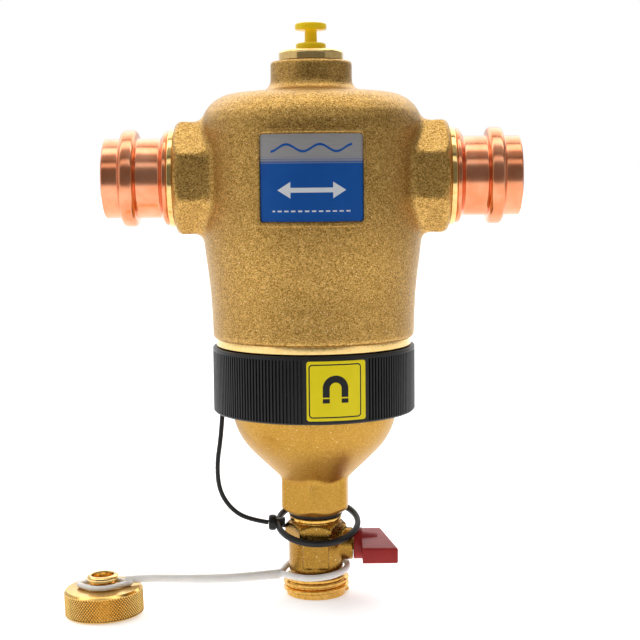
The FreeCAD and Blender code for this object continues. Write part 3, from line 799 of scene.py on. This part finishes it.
# ---- brass body -----------------------------------------------------------------------------------
@dataclass
class UpperBody:
    """Cast brass body: barrel, dome, top boss, octagonal port bosses and the label's raised border."""

    radius: float = 44.7
    flats: float = 44.5
    port_z: float = 171.3
    face_x: float = 54.5
    boss_radius: float = 16.25
    voxel: float = 0.75

    def build(self) -> None:
        """Builds the casting, its machined lip and the border."""
        cast = self._barrel()
        for side in Side:
            cast.joined(self._port_boss(side), Join.ADD)
        cast.remeshed(self.voxel).soften(lambda place: True, 2)
        for reach in (4.6, 3.6, 2.6):
            cast.soften(lambda place: self._off_root(place) < reach, 12)
        cast.joined(self._hollow(), Join.CUT)
        cast.ride("cast_body", "cast_brass", "housing", "upper_casting", crease=40.0)
        self._lip().ride("body_lip", "bright_brass", "housing", "upper_casting")
        self._border().ride("label_border", "cast_brass", "housing", "upper_casting")

    def _barrel(self) -> Shape:
        """Barrel, dome and top boss."""
        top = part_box("upper_casting")[1].z / MM
        return Shape.turned([
            (0, 106.9), (39.8, 106.9), (40.7, 107.8, 0.4), (40.95, 116.0, 90), (41.4, 125.0, 90),
            (42.25, 133.0, 90), (43.3, 141.0, 90), (44.2, 149.5, 90), (self.radius, 158.0, 90),
            (self.radius, 203.2, 14.5), (self.boss_radius, 206.1, 4.0), (self.boss_radius, top, 1.1),
            (0, top)], steps=128)

    def _port_boss(self, side: Side) -> Shape:
        """Octagonal boss with its machined outer chamfer."""
        corner = self.flats / 2 / math.cos(math.pi / 8)
        bullet = Shape.turned([(0, 19.0), (corner + 0.1, 19.0), (corner + 0.1, self.face_x - 2.9),
                               (corner - 2.9, self.face_x), (0, self.face_x)])
        bar = Shape.prism(8, self.flats, 20.0, self.face_x + 1.0, 22.5)
        return bar.joined(bullet, Join.KEEP).to_side(side, self.port_z)

    def _off_root(self, place: Vector) -> float:
        """Distance of a place from the line where a port boss meets the barrel."""
        across, up = abs(place.y), abs(place.z - self.port_z)
        off_boss = max(across, up, (across + up) / math.sqrt(2)) - self.flats / 2
        return max(abs(off_boss), abs(math.hypot(place.x, place.y) - self.radius))

    def _hollow(self) -> Shape:
        """The space inside: chamber, bores of the ports and the seat of the dry pocket."""
        hollow = Shape.turned([
            (0, 100.0), (35.6, 100.0), (36.6, 109.5), (37.4, 125.0, 90), (39.3, 141.0, 90),
            (40.7, 158.0, 90), (40.7, 195.0, 9.0), (33.0, 199.6, 5.0), (11.05, 202.5), (11.05, 215.8),
            (13.2, 215.8), (13.2, 220.0), (0, 220.0)])
        for side in Side:
            bore = Shape.turned([(0, 30.0), (12.7, 30.0), (12.7, 42.5), (17.0, 42.5), (17.0, 60.0),
                                 (0, 60.0)])
            hollow.joined(bore.to_side(side, self.port_z), Join.ADD)
        return hollow

    def _lip(self) -> Shape:
        """Machined lip and skirt below the cast surface."""
        return Shape.turned([(32.5, 91.6), (35.5, 91.6, 0.3), (35.5, 103.9, 0.4), (39.5, 103.9, 0.35),
                             (39.5, 106.9), (39.0, 107.6), (35.7, 107.6), (35.5, 103.0), (32.5, 102.0)],
                            steps=128, closed=True)

    def _border(self) -> Shape:
        """Low border cast round the name label."""
        low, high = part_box("name_label")
        middle, half = (low.z + high.z) / 2 / MM, (high.z - low.z) / 2 / MM
        plate = Shape.block((-21.6, -0.95, middle - half - 2.1), (21.6, 0.8, middle + half + 2.1))
        plate.bevel(plate.edges_along(1), 2.4, 5)
        seat = Shape.block((-19.8, -3.0, middle - half - 0.4), (19.8, 3.0, middle + half + 0.4))
        seat.bevel(seat.edges_along(1), 1.6, 4)
        plate.joined(seat, Join.CUT)
        rim = [edge for edge in plate.sheet.edges
               if edge.calc_face_angle(0.0) > 1.0 and max(vert.co.y for vert in edge.verts) < -0.4]
        return plate.bevel(rim, 0.25, 2).wrap(self.radius, 24)


@dataclass
class Bowl:
    """Turned brass bowl with a hexagon round its outlet neck."""

    flats: float = 26.7
    turn: float = 86.0
    corner: float = 14.8
    voxel: float = 0.55

    def build(self) -> None:
        """Builds the bowl."""
        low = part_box("lower_bowl")[0].z / MM
        neck = Shape.prism(6, self.flats, low, 52.0, self.turn)
        chamfer = Shape.turned([(0, low - 1), (11.1, low - 1), (11.1, low),
                                (self.flats / 2 + 0.2, low + 1.8, 0.3), (self.corner, low + 2.8, 0.5),
                                (self.corner, 53.0), (0, 53.0)])
        neck.joined(chamfer, Join.KEEP)
        shell = Shape.turned([
            (0, 46.5), (11.2, 46.5), (18.4, 53.55, 20), (23.15, 58.1, 20), (26.5, 61.5, 20),
            (29.3, 65.0, 20), (31.4, 68.8, 20), (32.9, 73.0, 20), (34.3, 84.0, 1.0), (35.3, 85.0),
            (35.3, 90.0, 0.3), (32.45, 90.0), (32.45, 101.5, 0.5), (0, 101.5)], steps=128)
        shell.joined(neck, Join.ADD).remeshed(self.voxel).soften(lambda place: True, 2)
        shell.soften(lambda place: 46.5 < place.z < 51.5 and place.xy.length < 17.0, 10)
        hollow = Shape.turned([(0, low - 1), (10.55, low - 1), (10.55, 46.0), (9.0, 46.0),
                               (15.5, 53.2, 3), (20.4, 58.0, 8), (26.4, 66.0, 10), (29.5, 75.0, 10),
                               (29.5, 103.0), (0, 103.0)])
        shell.joined(hollow, Join.CUT).ride("bowl", "fine_brass", "housing", "lower_bowl", crease=38.0)


# ---- press ends -----------------------------------------------------------------------------------
@dataclass
class PressEnd:
    """Brass adapter and copper press sleeve of one port."""

    side: Side
    tube: float = 15.95
    bore: float = 14.45
    bead: float = 19.4
    bead_x: float = 72.9

    def build(self) -> None:
        """Builds both pieces."""
        name = self.side.name.lower()
        height = (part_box(f"{name}_adapter")[0].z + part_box(f"{name}_adapter")[1].z) / 2 / MM
        flange = Shape.turned([(12.7, 43.0), (16.95, 43.0), (16.95, 54.5), (19.65, 54.5, 0.6),
                               (19.65, 56.9, 0.6), (12.7, 56.9)], closed=True).to_side(self.side, height)
        flange.ride(f"{name}_flange", "bright_brass", "housing", f"{name}_adapter")
        sleeve = Shape.turned(self._sleeve(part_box(f"{name}_press_sleeve")), steps=128, closed=True)
        sleeve.to_side(self.side, height).ride(f"{name}_sleeve", "copper", "housing", f"{name}_press_sleeve")

    def _sleeve(self, box: tuple[Vector, Vector]) -> Outline:
        """Outline of the sleeve: rim, cone, tube, bead and mouth."""
        rim, mouth = sorted(abs(corner.x) / MM for corner in box)
        half = 2.92
        return [(13.3, rim), (18.9, rim, 0.8), (18.9, rim + 1.75, 0.7), (self.tube, rim + 3.4, 1.0),
                (self.tube, self.bead_x - half - 0.45, 0.7), (self.bead, self.bead_x - half, 2.9),
                (self.bead, self.bead_x + half, 2.9), (self.tube, self.bead_x + half + 0.45, 0.7),
                (self.tube, mouth, 1.0), (self.bore, mouth, 0.3), (self.bore, self.bead_x + 2.4, 0.4),
                (self.bead - 1.5, self.bead_x + 2.2, 1.8), (self.bead - 1.5, self.bead_x - 2.2, 1.8),
                (self.bore, self.bead_x - 2.4, 0.4), (self.bore, 61.0), (13.3, 61.0)]


# ---- magnet pocket and rod ------------------------------------------------------------------------
@dataclass
class MagnetPocket:
    """Dry pocket with its polished head, and the yellow knob of the magnet rod that slides in it."""

    head: float = 12.9
    tube: float = 7.0
    bore: float = 5.9

    def build(self) -> None:
        """Builds the pocket and the knob."""
        low, high = (corner.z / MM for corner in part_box("magnet_pocket"))
        pocket = Shape.turned([(0, low), (self.tube, low, 1.5), (self.tube, 201.0), (11.0, 201.0),
                               (11.0, high - 4.0), (self.head, high - 4.0, 0.3), (self.head, high, 1.5),
                               (self.bore, high, 0.3), (self.bore, low + 1.6), (0, low + 1.6)], steps=128)
        pocket.ride("dry_pocket", "bright_brass", "housing", "magnet_pocket")
        foot, top = (corner.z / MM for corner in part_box("pull_knob"))
        knob = Shape.turned([
            (0, foot), (4.95, foot), (4.95, 219.6), (5.3, 221.7), (5.95, 221.75, 0.35), (6.0, 224.3, 0.9),
            (2.5, 224.75, 0.5), (2.4, 229.35, 0.5), (6.3, 229.6, 0.6), (6.25, top, 0.9), (0, top)])
        knob.ride("knob", "yellow_plastic", "magnet_rod", "pull_knob")


# ---- magnet collar --------------------------------------------------------------------------------
@dataclass
class MagnetCollar:
    """Black moulded collar with fine upright ribs, plain behind its label."""

    radius: float = 41.0
    bore: float = 35.9
    steps: int = 360
    rib_depth: float = 0.7
    plain_margin: float = 1.3

    def build(self) -> None:
        """Builds the collar."""
        low, high = (corner.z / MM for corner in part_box("collar_shell"))
        collar = Shape.turned([
            (self.bore, low, 0.2), (37.0, low), (37.0, high - 2.0), (39.8, high - 2.0), (39.8, low),
            (self.radius - 0.5, low), (self.radius, low + 0.6), (self.radius, high - 1.5),
            (self.radius, high, 0.5), (self.bore, high, 0.4)], steps=self.steps, closed=True)
        collar.tidied()
        label_low, label_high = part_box("magnet_label")
        facing = math.atan2((label_low.x + label_high.x) / 2, -(label_low.y + label_high.y) / 2)
        half = (label_high.z - label_low.z) / 2 / MM + self.plain_margin
        grooves = []
        for face in collar.sheet.faces:
            middle = face.calc_center_median()
            turn = math.atan2(middle.x, -middle.y)
            step = math.floor((turn + math.pi) / (2 * math.pi) * self.steps)
            tall = max(vert.co.z for vert in face.verts) - min(vert.co.z for vert in face.verts) > 15.0
            outer = middle.xy.length > self.radius - 0.2
            if tall and outer and step % 2 and abs(turn - facing) > half / self.radius:
                grooves.append(face)
        bmesh.ops.inset_individual(collar.sheet, faces=grooves, thickness=0.15, depth=-self.rib_depth,
                                   use_even_offset=True)
        collar.ride("ribbed_collar", "black_plastic", "collar", "collar_shell", crease=28.0)


# ---- drain valve ----------------------------------------------------------------------------------
@dataclass
class DrainValve:
    """Forged brass valve body with a hexagon, a flat panel, the stem's boss and two threads."""

    radius: float = 11.2
    stem_z: float = 20.55
    boss_radius: float = 6.55
    boss_x: float = 15.3
    hex_low: float = 24.0
    hex_high: float = 30.4
    hex_flats: float = 22.0
    voxel: float = 0.36

    def build(self) -> None:
        """Builds the body and its threads."""
        body = self._forging()
        bore = Shape.turned([(0, -1), (10.1, -1), (10.1, 0), (9.6, 0.6), (9.6, 12.6), (9.2, 12.6),
                             (9.2, 28.3), (6.4, 28.3), (6.4, 45), (0, 45)])
        body.joined(bore, Join.CUT)
        stem_hole = Shape.turned([(0, 5.0), (3.5, 5.0), (3.5, 17.0), (0, 17.0)], steps=48)
        body.joined(stem_hole.to_side(Side.OUTLET, self.stem_z), Join.CUT)
        body.ride("valve_forging", "valve_brass", "housing", "valve_body", crease=38.0)
        foot = Shape.turned([(9.6, 0.4), (10.1, 0, 0.2), (12.3, 0, 0.3), (12.4, 8.0, 0.4), (10.6, 8.8, 0.4),
                             (10.6, 11.2), (9.6, 11.2)], closed=True)
        neck = Shape.turned([(6.4, 30.2), (9.9, 30.2), (9.9, 31.0, 0.3), (10.6, 31.2, 0.6),
                             (10.6, 32.7, 0.6), (9.7, 33.0, 0.2), (9.7, 43.8, 0.4), (6.4, 43.8)],
                            closed=True)
        hose_thread = Shape.thread(12.35, 13.5, 2.54, 1.35, 2.05)
        neck_thread = Shape.thread(9.65, 10.45, 1.6, 35.0, 4.6)
        for name, shape, crease in (("hose_spigot", foot, 32.0), ("hose_thread", hose_thread, 50.0),
                                    ("valve_neck", neck, 32.0), ("neck_thread", neck_thread, 50.0)):
            shape.ride(name, "valve_brass", "housing", "valve_body", crease=crease, finish="turned_brass")

    def _forging(self) -> Shape:
        """Barrel, hexagon, panel and boss, fused with soft roots."""
        barrel = Shape.turned([(0, 9.0), (10.7, 9.0), (10.7, 9.6, 0.3), (self.radius - 0.1, 10.4, 0.4),
                               (self.radius, self.hex_low + 0.3), (9.8, self.hex_high - 0.2),
                               (9.8, self.hex_high), (0, self.hex_high)])
        hexagon = Shape.prism(6, self.hex_flats, self.hex_low, self.hex_high)
        chamfer = Shape.turned([(0, self.hex_low), (11.4, self.hex_low), (12.7, self.hex_low + 1.0, 0.4),
                                (12.7, self.hex_high - 1.6, 0.4), (10.8, self.hex_high), (0, self.hex_high)])
        hexagon.joined(chamfer, Join.KEEP)
        panel = Shape.block((-5.2, -self.radius - 0.05, 12.9), (5.2, 0, self.hex_low + 0.5))
        boss = Shape.turned([(0, 1.0), (self.boss_radius + 0.5, 1.0), (self.boss_radius, 12.2, 2.0),
                             (self.boss_radius, self.boss_x, 0.5), (0, self.boss_x)])
        barrel.joined(hexagon, Join.ADD).joined(panel, Join.ADD)
        barrel.joined(boss.to_side(Side.OUTLET, self.stem_z), Join.ADD)
        barrel.remeshed(self.voxel).soften(lambda place: True, 1)
        return barrel.soften(self._near_boss, 16)

    def _near_boss(self, place: Vector) -> bool:
        """Whether a place is close to where the stem's boss meets the body."""
        around = math.hypot(place.y, place.z - self.stem_z)
        return place.x > 6.0 and abs(around - self.boss_radius) < 1.6 and place.xy.length < self.radius + 1.9


@dataclass
class Handle:
    """Red flag handle: round hub and a wing that widens towards the front."""

    thick: float = 6.4
    hub: float = 6.4
    front_y: float = -20.6
    back_y: float = 13.0
    back_x: float = 27.3

    def build(self) -> None:
        """Builds the handle."""
        low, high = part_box("valve_handle")
        middle = (low.z + high.z) / 2 / MM
        wing_in, wing_out = 18.8, high.x / MM
        wing = Shape.block((wing_in, self.front_y, middle - self.thick / 2),
                           (wing_out, self.back_y, middle + self.thick / 2))
        outer_back = [vert for vert in wing.sheet.verts if vert.co.x > wing_in + 1 and vert.co.y > 0]
        bmesh.ops.translate(wing.sheet, vec=(self.back_x - wing_out, 0, 0), verts=outer_back)
        wing.bevel([edge for edge in wing.sheet.edges
                    if max(vert.co.x for vert in edge.verts) > wing_in + 1], 0.85, 3)
        hub = Shape.turned([(0, low.x / MM), (self.hub, low.x / MM, 0.4), (self.hub, wing_in + 0.3),
                            (5.2, wing_in + 0.3), (4.3, 25.4, 0.8), (0, 25.9)], steps=64)
        wing.joined(hub.to_side(Side.OUTLET, middle), Join.ADD)
        way = Shape.turned([(0, 14.0), (3.1, 14.0), (3.1, 21.0), (1.6, 21.0), (1.6, 23.8), (2.35, 23.8),
                            (2.35, 36.0), (0, 36.0)], steps=48)
        wing.joined(way.to_side(Side.OUTLET, middle), Join.CUT)
        wing.ride("flag_handle", "red_plastic", "handle", "valve_handle")


# ---- drain cap, strap and tether ------------------------------------------------------------------
@dataclass
class DrainCap:
    """Brass cap with a knurled side, and the bulged post that holds its strap."""

    radius: float = 15.5
    height: float = 10.5
    cells: int = 164
    rows: int = 12
    depth: float = 0.42

    def build(self) -> None:
        """Builds the cap where it lies."""
        self.laid(self._shell()).ride("knurled_cap", "cap_brass", "cap", "drain_cap", crease=24.0)
        self.laid(self._post()).ride("cap_post", "bright_brass", "cap", "drain_cap")

    @staticmethod
    def laid(shape: Shape) -> Shape:
        """Places a shape made upright about Z on the cap's own axis."""
        joint = next(joint for joint in frame["joints"] if joint["name"] == "cap_turn")
        axis = Vector(joint["axis"])
        tilt = math.degrees(math.atan2(axis.x, axis.z))
        return shape.rotate(tilt, "Y").move(*[value / MM for value in joint["pos_m"]])

    def _shell(self) -> Shape:
        """Cap with its hollow and its knurl."""
        inside, low, high = 13.65, 0.9, self.height - 1.2
        side = [(self.radius, low + (high - low) * row / self.rows) for row in range(self.rows + 1)]
        shell = Shape.turned([(inside, 0), (self.radius - 0.6, 0, 0.3), (self.radius - 0.1, 0.6)] + side + [
            (self.radius - 0.05, self.height - 0.9), (self.radius - 0.9, self.height, 0.15),
            (0, self.height), (0, self.height - 1.8), (inside, self.height - 1.8)],
            steps=self.cells, closed=True)
        valleys = []
        for vert in shell.sheet.verts:
            row = (vert.co.z - low) / (high - low) * self.rows
            if vert.co.xy.length < self.radius - 0.02 or not -0.1 < row < self.rows + 0.1:
                continue
            column = math.atan2(vert.co.y, vert.co.x) / (2 * math.pi) * self.cells
            if (round(column) + round(row)) % 2:
                valleys.append(vert)
        scale = (self.radius - self.depth) / self.radius
        bmesh.ops.scale(shell.sheet, vec=(scale, scale, 1.0), verts=valleys)
        bmesh.ops.connect_verts(shell.sheet, verts=valleys)
        return shell

    def _post(self) -> Shape:
        """Bulged hollow post."""
        top = self.height
        return Shape.turned([(4.3, top - 0.3), (5.1, top - 0.3), (5.1, top + 2.1, 0.5),
                             (6.35, top + 3.2, 1.3), (6.2, top + 4.5, 0.9), (5.2, top + 5.1, 0.3),
                             (4.5, top + 5.1, 0.2), (4.3, top + 4.4)], steps=64, closed=True)


@dataclass
class Eye:
    """Drop-shaped ring of a strap or tether, with its point towards -X before it is turned."""

    radius: float
    apex: float
    wide: float
    tall: float
    tail: float = 0.0

    def shape(self) -> Shape:
        """The ring about Z, at height 0."""
        open_turn = math.acos(self.radius / self.apex)
        count = 14
        first, last = -math.pi + open_turn, math.pi - open_turn
        if self.tail:
            first, last, count = -math.pi + open_turn, -open_turn * 0.9, 5
        turns = [first + (last - first) * k / (count - 1) for k in range(count)]
        reach = self.radius / math.cos((last - first) / (count - 1) / 2)
        line = [(reach * math.cos(turn), reach * math.sin(turn), 0.0) for turn in turns]
        near = [(-self.apex * 0.93, self.wide * 0.5, 0.0), (-self.apex - 1.2, self.wide * 0.32, 0.0)]
        point = near + [(x, -y, z) for x, y, z in reversed(near)]
        if self.tail:
            far = [(self.tail, -self.wide * 0.3, 0.0), (self.tail, self.wide * 0.3, 0.0)]
            line = line + far + [(x, -y, z) for x, y, z in reversed(line)]
        return Shape.swept(line + point, self.wide, self.tall, closed=True)


@dataclass
class Tether:
    """Soft black lanyard from the magnet collar to a loop round the valve's neck, with its stop."""

    diameter: float = 1.9
    tilt: float = 18.5
    route: tuple[tuple[float, float, float], ...] = (
        (-0.0376, 0.0, 0.07718), (-0.0384, -0.0003, 0.066), (-0.0403, -0.0008, 0.0545),
        (-0.0396, -0.001, 0.0436), (-0.0349, -0.0008, 0.0357), (-0.028, -0.0003, 0.0311),
        (-0.0195, 0.0, 0.0296))

    def build(self) -> None:
        """Builds the loop with its stop, and the cord."""
        low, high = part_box("tether_loop")
        ring = Eye(radius=16.4, apex=17.6, wide=2.4, tall=2.9).shape().move(1.0, 0, 0)
        stop = Shape.turned([(0, 12.6), (2.3, 12.6), (1.5, 16.4), (2.9, 16.2, 0.4), (3.25, 17.0, 0.5),
                             (3.25, 18.6, 0.5), (2.8, 19.35, 0.4), (0, 19.35)], steps=48)
        stop.to_side(Side.INLET, 0)
        ring.joined(stop, Join.ADD).remeshed(0.3).soften(lambda place: True, 3)
        ring.rotate(self.tilt, "X").move(0, 0, (low.z + high.z) / 2 / MM)
        ring.ride("loop", "tether_black", "housing", "tether_loop", crease=60.0)
        cord = self._cord()
        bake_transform(cord)

    def _cord(self) -> bpy.types.Object:
        """The cord along its route."""
        points = [[value / MM for value in place] for place in self.route]
        cord = Shape.swept(points, self.diameter, self.diameter).piece("lanyard", "tether_black", 60.0)
        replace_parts(cord, "collar_tether")
        return (cord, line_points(self.route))[0]


@dataclass
class CapStrap:
    """Ivory strap with an eye round the valve and an eye round the cap's post."""

    wide: float = 3.0
    tall: float = 3.7
    diameter: float = 3.8
    route: tuple[tuple[float, float, float], ...] = (
        (-0.0152, -0.0046, 0.0091), (-0.029, -0.0114, 0.0096), (-0.0435, -0.0162, 0.0106),
        (-0.057, -0.0206, 0.0122), (-0.0685, -0.0244, 0.0136), (-0.0756, -0.0259, 0.01355))

    def build(self) -> None:
        """Builds both eyes and the strap."""
        middle = (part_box("strap_valve_eye")[0].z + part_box("strap_valve_eye")[1].z) / 2 / MM
        heading = math.degrees(math.atan2(self.route[0][1], self.route[0][0])) + 180.0
        ring = Eye(radius=13.1, apex=15.6, wide=2.3, tall=2.7).shape()
        ring.rotate(-5.0, "Y").rotate(3.0, "X").rotate(heading, "Z").move(0, 0, middle + 0.2)
        ring.ride("valve_eye", "ivory_plastic", "strap", "strap_valve_eye", crease=60.0)
        small = Eye(radius=6.9, apex=9.6, wide=2.0, tall=2.1, tail=9.6).shape()
        small.rotate(180.0, "Z").move(0, 0, 11.75)
        DrainCap.laid(small).ride("post_eye", "ivory_plastic", "strap", "strap_cap_eye", crease=60.0)
        points = [[value / MM for value in place] for place in self.route]
        swell = [1.08, 1.08, 1.0, 0.9, 0.84, 0.8]
        strap = Shape.swept(points, self.wide, self.tall, swell=swell).ride(
            "strap", "ivory_plastic", "strap", "cap_strap", crease=60.0)
        line_points(self.route)


def line_points(route: Sequence[Sequence[float]]) -> list[Vector]:
    """Points along the smooth line of a route, in the route's order."""
    mesh = line_mesh(smooth_line(route))
    points = [vert.co.copy() for vert in mesh.vertices]
    bpy.data.meshes.remove(mesh)
    return points


# ---- studio ---------------------------------------------------------------------------------------
@dataclass
class Studio:
    """Plain pale floor, soft studio light all round and the camera."""

    distance: float = 0.565
    eye_height: float = 0.1718
    aside: float = 0.0026
    pitch: float = 5.9
    roll: float = -0.55
    lens: float = 78.5
    floor_size: float = 24.0
    card_size: tuple[float, float] = (1.2, 0.44)

    def build(self) -> None:
        """Builds the floor, the light and the camera."""
        self._floor()
        self._card("front_card", 0.14, (0.0, -0.45, 0.25), 0.0)
        self._card("right_card", 0.34, (0.55, 0.12, 0.25), 90.0)
        self._card("left_card", 0.66, (-0.55, 0.12, 0.25), 90.0)
        self._sky()
        self._camera()
        LOG.info("studio ready")

    def _plate(self, board: Paint, size: tuple[float, float], turns: Sequence[tuple[float, str]] = (),
               middle: Colour = (0.0, 0.0, 0.0)) -> bpy.types.Object:
        """Puts a flat plate of a material on the stage.

        Args:
            board: the plate's material, whose name it takes.
            size: its width and depth in metres before it is turned.
            turns: degrees and axis of each turn, in order.
            middle: where its middle goes, in metres.

        Returns:
            The plate.
        """
        sheet = bmesh.new()
        bmesh.ops.create_grid(sheet, x_segments=1, y_segments=1, size=0.5)
        bmesh.ops.scale(sheet, vec=(*size, 1.0), verts=sheet.verts)
        for degrees, axis in turns:
            bmesh.ops.rotate(sheet, matrix=Matrix.Rotation(math.radians(degrees), 3, axis),
                             verts=sheet.verts)
        bmesh.ops.translate(sheet, vec=middle, verts=sheet.verts)
        mesh = bpy.data.meshes.new(board.material.name)
        sheet.to_mesh(mesh)
        sheet.free()
        mesh.materials.append(board.material)
        plate = bpy.data.objects.new(mesh.name, mesh)
        bpy.context.scene.collection.objects.link(plate)
        return plate

    def _floor(self) -> None:
        """Lays a pale floor under the object."""
        board = Paint("floor")
        board.set(Base_Color=(0.86, 0.86, 0.86), Roughness=0.7, Emission_Color=(1.0, 1.0, 1.0),
                  Emission_Strength=0.5)
        self._plate(board, (self.floor_size, self.floor_size))

    def _card(self, name: str, glow: float, middle: Colour, turn: float) -> None:
        """Hangs a card, out of the camera's sight, for the metal to mirror.

        Args:
            name: name of the card and its material.
            glow: brightness of the card.
            middle: middle of the card in metres.
            turn: degrees the card turns about Z, 0 facing along Y.
        """
        board = Paint(name)
        board.set(Base_Color=(0.02, 0.02, 0.02), Roughness=0.9, Emission_Color=(1.0, 1.0, 1.0),
                  Emission_Strength=glow)
        card = self._plate(board, self.card_size, ((90.0, "X"), (turn, "Z")), middle)
        card.visible_camera = False

    def _sky(self) -> None:
        """Surrounds the object with soft boxes, gaps between them and the dim room behind the camera."""
        world = bpy.data.worlds.new("studio")
        world.use_nodes = True
        board = Board(world.node_tree)
        place = board.sock("ShaderNodeTexCoord", output="Generated")
        x, y, z = board.axes(place)
        tilt = board.sock("ShaderNodeMath", {"operation": "ARCTAN2"}, {0: z, 1: -y}) * (180.0 / math.pi)
        stops = [(0.0, 0.8), (0.435, 0.95), (0.455, 0.05), (0.575, 0.05), (0.595, 1.3), (0.625, 1.3),
                 (0.632, 0.1), (0.65, 0.1), (0.656, 0.4), (0.71, 0.5), (0.722, 2.6), (0.775, 2.6),
                 (0.782, 0.1), (0.796, 0.1), (0.802, 1.3), (0.86, 2.2), (0.93, 1.9), (0.97, 0.9),
                 (1.0, 0.8)]
        bands = board.sock("ShaderNodeValToRGB", {"stops": [(p, (v, v, v)) for p, v in stops]},
                           {0: (tilt + 180.0) / 360.0})
        light = board.mix((-x).rise(0.62, 0.86), bands, (0.78, 0.78, 0.78))
        light = board.mix(x.rise(0.55, 0.80), light, (0.12, 0.12, 0.12))
        seen = board.sock("ShaderNodeLightPath", output="Is Camera Ray")
        shown = board.mix(seen, light, (1.0, 1.0, 1.0))
        background = board.node("ShaderNodeBackground", None, {"Color": shown, "Strength": 1.0})
        output = board.node("ShaderNodeOutputWorld")
        board.tree.links.new(background.outputs[0], output.inputs[0])
        bpy.context.scene.world = world
        bpy.context.scene.view_settings.view_transform = "Standard"

    def _camera(self) -> None:
        """Sets the camera in front of the object."""
        data = bpy.data.cameras.new("camera")
        data.lens = self.lens
        data.sensor_width = 36.0
        data.clip_start = 0.01
        data.clip_end = 50.0
        camera = bpy.data.objects.new("camera", data)
        tilt = Matrix.Rotation(math.radians(90.0 - self.pitch), 4, "X")
        roll = Matrix.Rotation(math.radians(self.roll), 4, "Z")
        camera.matrix_world = Matrix.Translation((self.aside, -self.distance, self.eye_height)) @ tilt @ roll
        bpy.context.scene.collection.objects.link(camera)
        bpy.context.scene.camera = camera


def main() -> None:
    """Builds the sub-assemblies in order."""
    PAINTS.update({finish.slot: finish.paint() for finish in FINISHES})
    for entry in frame["record"]["subparts"]:
        mesh = frame["nodes"][entry["node"]].data
        mesh.materials.clear()
        mesh.materials.append(PAINTS[entry["material_slot"]])
    ends = [PressEnd(side) for side in Side]
    for part in (UpperBody(), Bowl(), *ends, MagnetPocket(), MagnetCollar(), DrainValve(), Handle(),
                 DrainCap(), CapStrap(), Tether(), Studio()):
        part.build()
        LOG.info("%s built", type(part).__name__)


if __name__ == "__main__":
    logging.basicConfig(level=logging.INFO, format="%(name)s: %(message)s")
    main()
